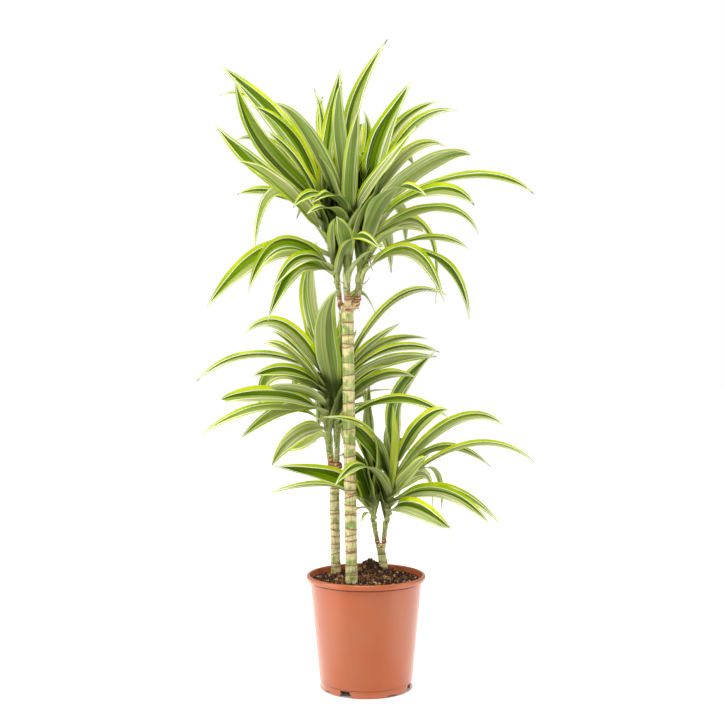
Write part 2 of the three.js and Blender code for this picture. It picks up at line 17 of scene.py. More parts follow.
import bpy
import numpy as np
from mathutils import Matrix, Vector

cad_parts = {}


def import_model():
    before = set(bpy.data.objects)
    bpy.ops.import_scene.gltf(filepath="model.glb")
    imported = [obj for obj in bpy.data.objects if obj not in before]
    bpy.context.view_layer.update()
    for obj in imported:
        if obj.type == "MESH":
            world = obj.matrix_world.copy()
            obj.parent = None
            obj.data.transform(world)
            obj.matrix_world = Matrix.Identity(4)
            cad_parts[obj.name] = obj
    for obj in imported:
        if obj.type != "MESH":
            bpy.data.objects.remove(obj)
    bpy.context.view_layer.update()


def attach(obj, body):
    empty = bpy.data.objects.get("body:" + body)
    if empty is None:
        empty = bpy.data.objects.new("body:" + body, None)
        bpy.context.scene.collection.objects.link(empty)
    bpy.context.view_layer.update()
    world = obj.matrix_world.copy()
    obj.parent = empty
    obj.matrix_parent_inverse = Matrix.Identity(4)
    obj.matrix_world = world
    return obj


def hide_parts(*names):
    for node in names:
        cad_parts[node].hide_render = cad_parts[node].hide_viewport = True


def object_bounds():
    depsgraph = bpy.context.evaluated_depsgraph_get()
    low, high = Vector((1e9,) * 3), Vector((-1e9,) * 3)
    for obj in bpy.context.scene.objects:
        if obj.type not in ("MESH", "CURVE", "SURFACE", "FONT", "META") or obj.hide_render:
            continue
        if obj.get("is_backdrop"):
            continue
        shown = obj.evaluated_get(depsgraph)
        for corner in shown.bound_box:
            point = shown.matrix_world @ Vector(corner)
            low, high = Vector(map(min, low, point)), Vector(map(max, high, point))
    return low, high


LOG = logging.getLogger("dracaena")
MM = 0.001
BODY = "root"
GOLDEN = 0.6180339887498949

Array = np.ndarray
Place = tuple[float, float, float]
Colour = tuple[int, int, int]
Pair = tuple[float, float]
Fade = tuple[float, float, float, float]


# --- shared maths


def smooth(share: Array | float) -> Array:
    """Smoothstep: 3 t squared less 2 t cubed, with t the share held between 0 and 1."""
    t = np.clip(share, 0.0, 1.0)
    return t * t * (3.0 - 2.0 * t)


def unit(vectors: Array) -> Array:
    """The same vectors, one unit long."""
    return vectors / np.linalg.norm(vectors, axis=-1, keepdims=True)


def spread(count: Array | float) -> Array:
    """Steadily spread shares from 0 to 1: the golden ratio times the count, less its whole part."""
    return (np.asarray(count) * GOLDEN) % 1.0


def value_noise(x: Array, y: Array, seed: int) -> Array:
    """Smooth noise from -1 to 1 over a plane with cells of size 1.

    Every corner of a cell has a random value, and inside the cell the four are blended by the
    smoothstep of the two shares of the way across.

    Args:
        x: First coordinate, of any shape.
        y: Second coordinate, of the same shape.
        seed: Which random lattice is read.

    Returns:
        The noise at each point.
    """
    size = 64
    lattice = np.random.default_rng(seed).uniform(-1.0, 1.0, (size, size))
    column, row = np.floor(x).astype(int), np.floor(y).astype(int)
    across, up = smooth(x - column), smooth(y - row)

    def corner(i: int, j: int) -> Array:
        """The random values i cells further across and j cells further up."""
        return lattice[(column + i) % size, (row + j) % size]

    low = corner(0, 0) * (1 - across) + corner(1, 0) * across
    high = corner(0, 1) * (1 - across) + corner(1, 1) * across
    return low * (1 - up) + high * up


def smooth_path(points: Array, count: int) -> Array:
    """A smooth curve through points.

    Each stretch is the cubic that passes its two ends along the lines between their neighbours.

    Args:
        points: The points, (n, 3).
        count: How many points to return, evenly spaced over the stretches.

    Returns:
        The curve, (count, 3).
    """
    ends = [2 * points[0] - points[1], 2 * points[-1] - points[-2]]
    padded = np.vstack([ends[0], points, ends[1]])
    reach = np.linspace(0, len(points) - 1, count)
    start = np.minimum(reach.astype(int), len(points) - 2)
    t = (reach - start)[:, None]
    a, b, c, d = (padded[start + k] for k in range(4))
    return b + 0.5 * t * (c - a + t * (2 * a - 5 * b + 4 * c - d + t * (3 * (b - c) + d - a)))


def bell(away: Array, tall: float, wide: float) -> Array:
    """The bell curve tall * exp(-(away / wide)**2), with its height and width in millimetres."""
    return tall * MM * np.exp(-((away / (wide * MM)) ** 2))


def ring_angles(columns: int) -> Array:
    """Evenly spaced angles once round, in radians."""
    return 2 * math.pi * np.arange(columns) / columns


def tube(path: Array, radius: Array, lift: Array | float = 0.0, level: bool = False) -> Array:
    """Rings of points round a path.

    A ring's point is the path's point plus the radius times the cosine of its angle to the right
    and the sine to the back, plus its lift along the path.

    Args:
        path: The middle line, (rows, 3).
        radius: Radius at each ring and angle, (rows, columns).
        lift: Shift along the path, of the radius's shape.
        level: Whether the rings lie level and not square to the path.

    Returns:
        The points, (rows, columns, 3).
    """
    along = unit(np.gradient(path, axis=0))
    if level:
        along = np.broadcast_to([0.0, 0.0, 1.0], path.shape)
    back = unit(np.array([0.0, 1.0, 0.0]) - along * along[:, 1:2])
    right = np.cross(back, along)
    angle = ring_angles(radius.shape[1])
    lift = np.broadcast_to(lift, radius.shape)
    return (
        path[:, None]
        + right[:, None] * (radius * np.cos(angle))[..., None]
        + back[:, None] * (radius * np.sin(angle))[..., None]
        + along[:, None] * lift[..., None]
    )


def unit_ball(rows: int, columns: int, first: float) -> Array:
    """Rings of points on a ball of radius 1, from its foot to its top.

    Args:
        rows: How many rings.
        columns: How many points in each.
        first: The first ring's share of the way from foot to top; the last one mirrors it.

    Returns:
        The points, (rows, columns, 3).
    """
    rise = np.linspace(first, 1 - first, rows)[:, None] * math.pi
    angle = ring_angles(columns)
    ends = [np.sin(rise) * np.cos(angle), np.sin(rise) * np.sin(angle), -np.cos(rise) + 0 * angle]
    return np.stack(ends, -1)


def nearest_ring(height: Array, levels: Array) -> tuple[Array, Array]:
    """The nearest of the rings round a stem.

    Args:
        height: Height of each row of a tube, or of each of its points.
        levels: Height of each ring at each angle, (rings, columns).

    Returns:
        For each point of the tube, the ring's number and how far the point is above it.
    """
    over = height[..., None] - levels.T[None]
    nearest = np.abs(over).argmin(axis=-1)
    return nearest, np.take_along_axis(over, nearest[..., None], -1)[..., 0]


# --- surfaces


def placed(name: str, data: bpy.types.ID) -> bpy.types.Object:
    """Puts a new object in the scene.

    Args:
        name: The object's name.
        data: Its mesh, light or camera.

    Returns:
        The object.
    """
    new = bpy.data.objects.new(name, data)
    bpy.context.scene.collection.objects.link(new)
    return new


def shade(mesh: bpy.types.Mesh, crease: float) -> None:
    """Shades a mesh smoothly, except at edges sharper than the crease, in degrees."""
    mesh.shade_smooth()
    mesh.set_sharp_from_angle(angle=math.radians(crease))


class Cap(Enum):
    """How the first and last ring of a lofted surface are closed."""

    FAN = "a fan of triangles to the ring's middle"
    FOLD = "a strip between the ring's two halves"


@dataclass
class Surface:
    """A closed surface in the making.

    vertices is (n, 3), quads (m, 4) and triangles (k, 3). values holds (n, 3) numbers by name,
    which become attributes of the mesh's points.
    """

    vertices: Array
    quads: Array
    triangles: Array
    values: dict[str, Array]

    @classmethod
    def loft(cls, grids: Array, cap: Cap, values: dict[str, Array] | None = None) -> Surface:
        """Skins over stacks of rings, closed round and at both ends.

        Args:
            grids: Points as (items, rows, columns, 3). Each item is a skin of its own.
            cap: How the ends are closed.
            values: Numbers by name, of the grids' shape.

        Returns:
            One surface with all the items, facing outwards.
        """
        items, rows, columns, _ = grids.shape
        own = rows * columns + (2 if cap is Cap.FAN else 0)
        cell = np.arange(rows * columns).reshape(rows, columns)
        beside = np.roll(cell, -1, axis=1)
        quads = np.stack([cell[:-1], beside[:-1], beside[1:], cell[1:]], -1).reshape(-1, 4)
        triangles = np.empty((0, 3), int)
        if cap is Cap.FAN:
            first, last = np.full(columns, own - 2), np.full(columns, own - 1)
            opening = np.stack([beside[0], cell[0], first], -1)
            closing = np.stack([cell[-1], beside[-1], last], -1)
            triangles = np.concatenate([opening, closing])
        else:
            near = np.arange(columns // 2 - 1)
            far = columns - 1 - near
            opening = np.stack([near + 1, near, far, far - 1], -1)
            closing = opening[:, ::-1] + (rows - 1) * columns
            quads = np.concatenate([quads, opening, closing])
        shift = (np.arange(items) * own)[:, None, None]

        def laid_out(grid: Array) -> Array:
            """The grid's numbers in the order of the vertices, with those of the ends' middles.

            Args:
                grid: Numbers of the grids' shape.

            Returns:
                The numbers, (n, 3).
            """
            flat = grid.reshape(items, rows * columns, 3)
            if cap is Cap.FAN:
                flat = np.concatenate([flat, grid[:, [0, -1]].mean(axis=2)], axis=1)
            return flat.reshape(-1, 3)

        return cls(
            laid_out(grids),
            (quads + shift).reshape(-1, 4),
            (triangles + shift).reshape(-1, 3),
            {name: laid_out(value) for name, value in (values or {}).items()},
        ).facing_out()

    @classmethod
    def joined(cls, parts: Sequence[Surface]) -> Surface:
        """Several surfaces with the same values as one.

        Args:
            parts: The surfaces.

        Returns:
            The one surface.
        """
        starts = np.cumsum([0] + [len(part.vertices) for part in parts[:-1]])
        return cls(
            np.concatenate([part.vertices for part in parts]),
            np.concatenate([part.quads + start for part, start in zip(parts, starts)]),
            np.concatenate([part.triangles + start for part, start in zip(parts, starts)]),
            {key: np.concatenate([p.values[key] for p in parts]) for key in parts[0].values},
        )

    def facing_out(self) -> Surface:
        """The same surface with its faces turned outwards, by the sign of the space it holds.

        Returns:
            The surface itself.
        """
        flat = np.concatenate([self.triangles, self.quads[:, [0, 1, 2]], self.quads[:, [0, 2, 3]]])
        a, b, c = (self.vertices[flat[:, k]] for k in range(3))
        if np.einsum("ij,ij->", a, np.cross(b, c)) < 0:
            self.quads, self.triangles = self.quads[:, ::-1], self.triangles[:, ::-1]
        return self

    def mesh(self, name: str) -> bpy.types.Mesh:
        """Makes a mesh of the surface, with the values as attributes.

        Args:
            name: The mesh's name.

        Returns:
            The new mesh.
        """
        mesh = bpy.data.meshes.new(name)
        mesh.from_pydata(self.vertices.tolist(), [], [*self.quads.tolist(), *self.triangles.tolist()])
        for key, value in self.values.items():
            attribute = mesh.attributes.new(key, "FLOAT_VECTOR", "POINT")
            attribute.data.foreach_set("vector", value.astype(np.float32).ravel())
        return mesh

    def piece(
        self, name: str, material: bpy.types.Material, slot: str, crease: float = 42.0
    ) -> bpy.types.Object:
        """Makes the surface a piece of the object, which rides on its one body.

        Args:
            name: The piece's name.
            material: Its finish.
            slot: The record's slot that the finish belongs to. It is not used.
            crease: Edges sharper than this many degrees stay sharp.

        Returns:
            The new object.
        """
        mesh = self.mesh(name)
        shade(mesh, crease)
        mesh.materials.append(material)
        piece = placed(name, mesh)
        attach(piece, BODY)
        LOG.info("%s: %d faces, %s", name, len(mesh.polygons), material.name)
        return piece


# --- node helpers


def linear(colour: Colour) -> tuple[float, float, float, float]:
    """A screen colour of 0 to 255 as the linear light that shaders take.

    Each channel is divided by 12.92 below 0.04045, and is otherwise (c + 0.055) / 1.055 to the
    power of 2.4.

    Args:
        colour: Red, green and blue, from 0 to 255.

    Returns:
        Red, green, blue and an alpha of 1.
    """
    share = np.array(colour) / 255.0
    light = np.where(share <= 0.04045, share / 12.92, ((share + 0.055) / 1.055) ** 2.4)
    return (*light.tolist(), 1.0)


Socket = bpy.types.NodeSocket
Value = float | Socket
Look = tuple[Socket, Socket, Value]


class Pen:
    """Draws nodes into one tree, and joins them as it goes."""

    def __init__(self, tree: bpy.types.NodeTree) -> None:
        """Takes the tree to draw in."""
        self.tree = tree

    def put(
        self, kind: str, inputs: dict[str | int, object] | None = None, **settings: object
    ) -> bpy.types.Node:
        """Adds a node.

        Args:
            kind: The node's type.
            inputs: Links or plain values for its inputs, by name or number.
            settings: Its other properties.

        Returns:
            The node.
        """
        node = self.tree.nodes.new(kind)
        for name, value in settings.items():
            setattr(node, name, value)
        for key, value in (inputs or {}).items():
            if isinstance(value, Socket):
                self.tree.links.new(value, node.inputs[key])
            else:
                node.inputs[key].default_value = value
        return node

    def group(self, tree: bpy.types.NodeTree, *values: Value) -> list[Socket]:
        """Places a node group with its inputs in their order, and gives its outputs."""
        return list(self.put("ShaderNodeGroup", dict(enumerate(values)), node_tree=tree).outputs)

    def math(self, operation: str, *values: Value) -> Socket:
        """One step of arithmetic."""
        return self.put("ShaderNodeMath", dict(enumerate(values)), operation=operation).outputs[0]

    def times(self, first: Value, second: Value) -> Socket:
        """The product of two numbers."""
        return self.math("MULTIPLY", first, second)

    def plus(self, first: Value, second: Value) -> Socket:
        """The sum of two numbers."""
        return self.math("ADD", first, second)

    def scaled(self, value: Value, factor: Value, start: Value) -> Socket:
        """The value times the factor, plus the start."""
        return self.math("MULTIPLY_ADD", value, factor, start)

    def fade(self, value: Value, low: Value, high: Value, start: float = 0, end: float = 1) -> Socket:
        """Smoothstep between two results.

        Args:
            value: What it depends on.
            low: The value that gives the start.
            high: The value that gives the end. It may be below low.
            start: The first result.
            end: The last result.

        Returns:
            The result.
        """
        inputs = {"Value": value, "From Min": low, "From Max": high, "To Min": start, "To Max": end}
        node = self.put("ShaderNodeMapRange", inputs, interpolation_type="SMOOTHSTEP")
        return node.outputs[0]

    def mix(self, share: Value, first: object, second: object, blend: str = "MIX") -> Socket:
        """Blends two colours.

        Args:
            share: How much of the second one there is.
            first: A link, or a plain screen colour of 0 to 255.
            second: Another.
            blend: How they are blended.

        Returns:
            The colour.
        """
        colours = [c if isinstance(c, Socket) else linear(c) for c in (first, second)]
        inputs = {0: share, 6: colours[0], 7: colours[1]}
        node = self.put("ShaderNodeMix", inputs, data_type="RGBA", blend_type=blend)
        return node.outputs[2]

    def vector(self, x: Value, y: Value, z: Value) -> Socket:
        """Puts three numbers together."""
        return self.put("ShaderNodeCombineXYZ", {0: x, 1: y, 2: z}).outputs[0]

    def split(self, vector: Socket) -> list[Socket]:
        """Takes a vector apart."""
        return list(self.put("ShaderNodeSeparateXYZ", {0: vector}).outputs)

    def noise(self, vector: Socket, scale: float = 1.0, detail: float = 2.0) -> Socket:
        """Soft noise from 0 to 1."""
        inputs = {"Vector": vector, "Scale": scale, "Detail": detail}
        return self.put("ShaderNodeTexNoise", inputs).outputs["Fac"]

    def attribute(self, name: str) -> Socket:
        """Reads one of the mesh's own attributes."""
        return self.put("ShaderNodeAttribute", attribute_name=name).outputs["Vector"]

    def position(self) -> Socket:
        """Where on the object a point is, in metres."""
        return self.put("ShaderNodeTexCoord").outputs["Object"]

    def hashed(self, seed: Socket, factor: float) -> Socket:
        """Another random share from 0 to 1 for the same seed."""
        return self.math("FRACT", self.times(seed, factor))


def pen_for(owner: bpy.types.Material | bpy.types.World) -> Pen:
    """Gives a material or a world an empty node tree.

    Args:
        owner: The material or world.

    Returns:
        A pen that draws in the tree.
    """
    owner.use_nodes = True
    owner.node_tree.nodes.clear()
    return Pen(owner.node_tree)


def empty_group(name: str, inputs: dict[str, float], outputs: Sequence[str]) -> bpy.types.NodeTree:
    """A new node group that reads a place and some numbers, and puts out numbers.

    Args:
        name: The group's name.
        inputs: The usual value of each number that it reads, by name.
        outputs: The names of what it puts out.

    Returns:
        The group, still without nodes.
    """
    tree = bpy.data.node_groups.new(name, "ShaderNodeTree")
    socket = tree.interface.new_socket
    socket(name="Place", in_out="INPUT", socket_type="NodeSocketVector")
    for title, usual in inputs.items():
        socket(name=title, in_out="INPUT", socket_type="NodeSocketFloat").default_value = usual
    for title in outputs:
        socket(name=title, in_out="OUTPUT", socket_type="NodeSocketFloat")
    return tree


def streaks_group() -> bpy.types.NodeTree:
    """Lengthwise streaks, as on a leaf, a cane or a shoot.

    The group reads a place whose X and Y lie across the streaks and whose Z runs along them, and
    puts out broad bands, fine lines and the height of both.

    Returns:
        The group, which is made only once.
    """
    name = "lengthwise_streaks"
    if name in bpy.data.node_groups:
        return bpy.data.node_groups[name]
    usual = {"Band width": 6 * MM, "Line width": 1.4 * MM, "Length": 0.1}
    tree = empty_group(name, usual, ("Bands", "Lines", "Height"))
    pen = Pen(tree)
    given = pen.put("NodeGroupInput").outputs
    x, y, z = pen.split(given["Place"])

    def layer(width: Socket, detail: float) -> Socket:
        """Noise that is as wide as given and as long as the streaks."""
        across = [pen.math("DIVIDE", axis, width) for axis in (x, y)]
        return pen.noise(pen.vector(*across, pen.math("DIVIDE", z, given["Length"])), 1.0, detail)

    bands = pen.fade(layer(given["Band width"], 1.0), 0.38, 0.62)
    lines = pen.fade(layer(given["Line width"], 2.0), 0.32, 0.68)
    height = pen.scaled(lines, 0.7, pen.times(bands, 0.3))
    pen.put("NodeGroupOutput", {"Bands": bands, "Lines": lines, "Height": height})
    return tree


def grain_group() -> bpy.types.NodeTree:
    """Irregular grain at two sizes, as on bark, peat and moulded plastic.

    The group reads a place and a size, and puts out patches five sizes wide, specks one size wide
    and the height of both.

    Returns:
        The group, which is made only once.
    """
    name = "grain"
    if name in bpy.data.node_groups:
        return bpy.data.node_groups[name]
    tree = empty_group(name, {"Size": 1 * MM}, ("Patches", "Specks", "Height"))
    pen = Pen(tree)
    given = pen.put("NodeGroupInput").outputs
    shrink = pen.math("DIVIDE", 1.0, given["Size"])
    scaled = pen.put("ShaderNodeVectorMath", {0: given["Place"], "Scale": shrink}, operation="SCALE")
    patches = pen.noise(scaled.outputs[0], 0.2, 3.0)
    specks = pen.noise(scaled.outputs[0], 1.0, 2.0)
    height = pen.scaled(specks, 0.6, pen.times(patches, 0.4))
    pen.put("NodeGroupOutput", {"Patches": patches, "Specks": specks, "Height": height})
    return tree


@dataclass(frozen=True)
class Finish:
    """A material: the plain values of its shader, and the nodes that colour it.

    In all finishes, sizes are metres and strengths go from 0 to 1. A pair says where a mask starts
    and where it is full, and a Fade says so too, before what it is there. streak_sizes are the
    widths of the bands and of the lines, and their length.
    """

    name: str
    roughness: float = 0.5
    bump: float = 0.4
    relief: float = 0.3 * MM
    mirroring: float = 0.5

    def colour(self, pen: Pen) -> Look:
        """Draws the pattern.

        Args:
            pen: Draws in the tree.

        Returns:
            The colour, the height of the relief, and the roughness.
        """
        raise NotImplementedError

    def material(self) -> bpy.types.Material:
        """Makes the material, unless it is made already.

        Returns:
            The material.
        """
        if self.name in bpy.data.materials:
            return bpy.data.materials[self.name]
        material = bpy.data.materials.new(self.name)
        pen = pen_for(material)
        colour, height, roughness = self.colour(pen)
        inputs = {"Height": height, "Strength": self.bump, "Distance": self.relief}
        bump = pen.put("ShaderNodeBump", inputs).outputs[0]
        inputs = {"Base Color": colour, "Roughness": roughness, "Normal": bump}
        inputs["Specular IOR Level"] = self.mirroring
        shader = pen.put("ShaderNodeBsdfPrincipled", inputs)
        pen.put("ShaderNodeOutputMaterial", {0: shader.outputs[0]})
        return material


# --- finishes


@dataclass(frozen=True)
class LeafFinish(Finish):
    """A striped leaf: lime margins, a cream line inside each, and a green and grey-green middle.

    It reads four attributes. "place" holds the distance from the midrib, the distance from the
    root and the distance from the nearer margin, in metres. "leaf" holds a share that differs
    from leaf to leaf, the share of the way to the tip, and 1 on the underside. A third holds
    how deep in the foliage a point lies, from 0 to 1, and darkens the colour there as painted
    shade. "look" holds the side of the wide margin, the tone, and half the leaf's full width.
    The margins also carry a painted highlight: patches of a lighter lime.
    """

    mirroring: float = 0.08
    deep: Colour = (72, 98, 0)
    middle: Colour = (124, 157, 4)
    grey: Colour = (174, 180, 108)
    pale: Colour = (232, 232, 196)
    cream: Colour = (252, 248, 226)
    shadow: Colour = (66, 92, 4)
    lime: Colour = (160, 190, 0)
    # The lighter lime is a painted highlight, laid on the margins in patches.
    lit_lime: Colour = (208, 219, 28)
    base: Colour = (206, 210, 152)
    underside: Colour = (158, 172, 110)
    dry: Colour = (104, 88, 38)
    streak_sizes: tuple[float, float, float] = (4.4 * MM, 1.3 * MM, 0.35)
    thread_width: float = 2.0 * MM
    margin_least: float = 1.2 * MM
    margin_more: float = 6.2 * MM
    margin_power: float = 1.6
    margin_lean: float = 0.46
    margin_limit: Fade = (5.0 * MM, 11.0 * MM, 0.85, 0.46)
    cream_least: float = 0.3 * MM
    cream_more: float = 0.7 * MM
    cream_blur: float = 0.7 * MM
    all_lime: Fade = (-0.3, -0.6, 0.0, 0.9)
    side_tone: float = -0.55
    tone_weight: float = 0.6
    band_weight: float = 0.36
    out_weight: float = 0.2
    tip_weight: float = -0.3
    green_at: Pair = (0.1, 0.56)
    grey_at: Fade = (0.46, 0.8, 0.0, 0.92)
    lines_at: Fade = (0.45, 0.0, 0.0, 0.46)
    cream_strength: float = 0.95
    underside_strength: float = 0.35
    base_at: Fade = (60 * MM, 12 * MM, 0.0, 0.5)
    shade_strength: float = 0.88
    dry_from: float = 0.72
    dry_at: Pair = (0.965, 0.99)
    underside_roughness: float = 0.14

    def margins(self, pen: Pen) -> tuple[Socket, Socket]:
        """Masks of the lime margins and of the cream lines beside them.

        Each side of each leaf has a margin of its own width, which wanders along the leaf and
        takes no more than a share of the half blade.

        Args:
            pen: Draws in the tree.

        Returns:
            The mask of the margins, and that of the lines.
        """
        across, along, edge = pen.split(pen.attribute("place"))
        seed = pen.split(pen.attribute("leaf"))[0]
        side = pen.math("SIGN", across)
        lean, tone, full = pen.split(pen.attribute("look"))
        own = pen.scaled(pen.times(side, lean), self.margin_lean, 0.5)
        steps = pen.vector(pen.times(along, 9.0), pen.times(side, 3.0), pen.times(seed, 50.0))
        wander = pen.scaled(pen.noise(steps), 0.9, 0.55)
        usual = pen.scaled(pen.math("POWER", own, self.margin_power), self.margin_more, self.margin_least)
        half = pen.plus(pen.math("ABSOLUTE", across), edge)
        narrow = pen.fade(full, *self.margin_limit)
        width = pen.math("MINIMUM", pen.times(usual, wander), pen.times(half, narrow))
        lime = pen.fade(edge, pen.plus(width, 0.3 * MM), pen.math("SUBTRACT", width, 0.4 * MM))
        end = pen.plus(width, pen.scaled(pen.hashed(own, 13.7), self.cream_more, self.cream_least))
        inner = pen.fade(edge, end, pen.plus(end, self.cream_blur))
        cream = pen.math("SUBTRACT", pen.math("SUBTRACT", 1.0, lime), inner)
        all_lime = pen.fade(tone, *self.all_lime)
        return pen.math("MAXIMUM", lime, all_lime), cream

    def colour(self, pen: Pen) -> Look:
        """Bands and lines of green, the margins with a painted highlight, the underside, painted shade and
        the tip.

        Args:
            pen: Draws in the tree.

        Returns:
            The colour, the height of the relief, and the roughness.
        """
        across, along, edge = pen.split(pen.attribute("place"))
        seed, share, under = pen.split(pen.attribute("leaf"))
        shade_crowding = pen.split(pen.attribute("crowding"))[0]
        own = pen.times(seed, 40.0)
        side = pen.math("SIGN", across)
        lean, tone, _ = pen.split(pen.attribute("look"))
        tone = pen.scaled(pen.times(side, lean), self.side_tone, tone)
        size = pen.math("ABSOLUTE", across)
        out = pen.math("DIVIDE", size, pen.plus(size, edge))
        bands, lines, height = pen.group(streaks_group(), pen.vector(across, own, along), *self.streak_sizes)
        mixed = pen.scaled(tone, self.tone_weight, pen.times(bands, self.band_weight))
        mixed = pen.scaled(out, self.out_weight, mixed)
        mixed = pen.scaled(pen.fade(share, 0.55, 1.0), self.tip_weight, mixed)
        colour = pen.mix(pen.fade(mixed, *self.green_at), self.deep, self.middle)
        colour = pen.mix(pen.fade(mixed, *self.grey_at), colour, self.grey)
        colour = pen.mix(pen.fade(lines, *self.lines_at), colour, self.deep)
        thread = pen.vector(pen.math("DIVIDE", across, self.thread_width), pen.times(along, 2.5), own)
        thread = pen.times(pen.fade(pen.noise(thread), 0.53, 0.66), pen.fade(mixed, 0.3, 0.75, 0.15, 0.95))
        colour = pen.mix(pen.times(thread, pen.fade(out, 0.05, 0.35)), colour, self.pale)
        lime, cream = self.margins(pen)
        # Painted highlight: patches of the lighter lime along the margins.
        glow = pen.noise(pen.vector(pen.times(along, 14.0), own, side))
        shade = pen.mix(pen.fade(glow, 0.35, 0.65), self.lime, self.lit_lime)
        colour = pen.mix(pen.times(cream, self.cream_strength), colour, self.cream)
        colour = pen.mix(lime, colour, shade)
        colour = pen.mix(pen.times(under, self.underside_strength), colour, self.underside)
        colour = pen.mix(pen.fade(along, *self.base_at), colour, self.base)
        # Painted shade: the colour darkens where the point lies deep in the foliage.
        colour = pen.mix(pen.times(shade_crowding, self.shade_strength), colour, self.shadow, "MULTIPLY")
        dried = pen.math("GREATER_THAN", pen.hashed(seed, 5.3), self.dry_from)
        colour = pen.mix(pen.times(pen.fade(share, *self.dry_at), dried), colour, self.dry)
        return colour, height, pen.scaled(under, self.underside_roughness, self.roughness)


@dataclass(frozen=True)
class CaneFinish(Finish):
    """Pale cane bark: cream and light green, streaked lengthwise, with a brown line at each scar.

    It reads the attribute "scar": the height over the nearest leaf scar, a share that differs
    from stretch to stretch, and how far up the next scar is. Heights are in metres.
    """

    cream: Colour = (233, 217, 160)
    green: Colour = (174, 184, 108)
    streak: Colour = (114, 142, 52)
    brown: Colour = (118, 70, 42)
    rosy: Colour = (194, 146, 108)
    dark: Colour = (52, 40, 24)
    streak_sizes: tuple[float, float, float] = (5.0 * MM, 1.5 * MM, 0.04)
    speck: float = 1.8 * MM
    patch_range: float = 56 * MM
    patch_least: float = -21 * MM
    patch_blur: float = 6 * MM
    patch_strength: float = 0.92
    band_strength: float = 0.85
    skin_at: Pair = (4.5 * MM, 1.5 * MM)
    skin_strength: float = 0.62
    line_at: Pair = (1.4 * MM, 0.3 * MM)
    line_strength: float = 0.85
    stain_at: Pair = (3 * MM, 1 * MM)
    stain_strength: float = 0.75

    def colour(self, pen: Pen) -> Look:
        """Green with streaks, cream patches that hang from each scar, then the scars' lines.

        Args:
            pen: Draws in the tree.

        Returns:
            The colour, the height of the relief, and the roughness.
        """
        over, tone, below = pen.split(pen.attribute("scar"))
        place = pen.position()
        bands, lines, height = pen.group(streaks_group(), place, *self.streak_sizes)
        patches, specks, _ = pen.group(grain_group(), pen.position(), self.speck)
        colour = pen.mix(pen.times(bands, self.band_strength), self.green, self.streak)
        hang = pen.scaled(pen.noise(place, 85.0, 1.0), self.patch_range, self.patch_least)
        hang = pen.plus(hang, pen.times(tone, 6 * MM))
        ends = pen.plus(hang, self.patch_blur), pen.math("SUBTRACT", hang, self.patch_blur)
        colour = pen.mix(pen.times(pen.fade(below, *ends), self.patch_strength), colour, self.cream)
        colour = pen.mix(pen.fade(lines, 0.7, 1.0, 0.0, 0.3), colour, self.cream)
        colour = pen.mix(pen.fade(lines, 0.4, 0.0, 0.0, 0.6), colour, self.streak)
        away = pen.math("ABSOLUTE", over)
        skin = pen.times(pen.fade(away, *self.skin_at), pen.fade(pen.hashed(tone, 9.7), 0.45, 0.7))
        colour = pen.mix(pen.times(skin, self.skin_strength), colour, self.rosy)
        line = pen.times(pen.fade(away, *self.line_at), pen.fade(patches, 0.36, 0.5, 0.45, 1.0))
        colour = pen.mix(pen.times(line, self.line_strength), colour, self.brown)
        stain = pen.times(pen.fade(specks, 0.56, 0.66), pen.fade(away, *self.stain_at))
        colour = pen.mix(pen.times(stain, self.stain_strength), colour, self.dark)
        return colour, height, self.roughness


@dataclass(frozen=True)
class KnotFinish(Finish):
    """The callus on a cane's cut end: reddish-brown bark that is cream where it has split.

    It reads the attribute "scar": how high on its lump a point is, and how pale the lump is.
    """

    brown: Colour = (150, 86, 58)
    cream: Colour = (226, 202, 152)
    dark: Colour = (58, 34, 20)
    moss: Colour = (132, 136, 92)
    speck: float = 1.5 * MM

    def colour(self, pen: Pen) -> Look:
        """Patches of brown and cream, dark crevices and a trace of green.

        Args:
            pen: Draws in the tree.

        Returns:
            The colour, the height of the relief, and the roughness.
        """
        patches, specks, height = pen.group(grain_group(), pen.position(), self.speck)
        ring, cut, _ = pen.split(pen.attribute("scar"))
        band = pen.math("SINE", pen.scaled(patches, 5.0, pen.times(ring, 9.0)))
        striped = pen.scaled(band, 0.15, patches)
        pale = pen.fade(pen.scaled(cut, 0.5, striped), 0.58, 0.7)
        colour = pen.mix(pale, self.brown, self.cream)
        colour = pen.mix(pen.fade(specks, 0.58, 0.7, 0.0, 0.7), colour, self.moss)
        colour = pen.mix(pen.fade(specks, 0.4, 0.28, 0.0, 0.85), colour, self.dark)
        return colour, height, self.roughness


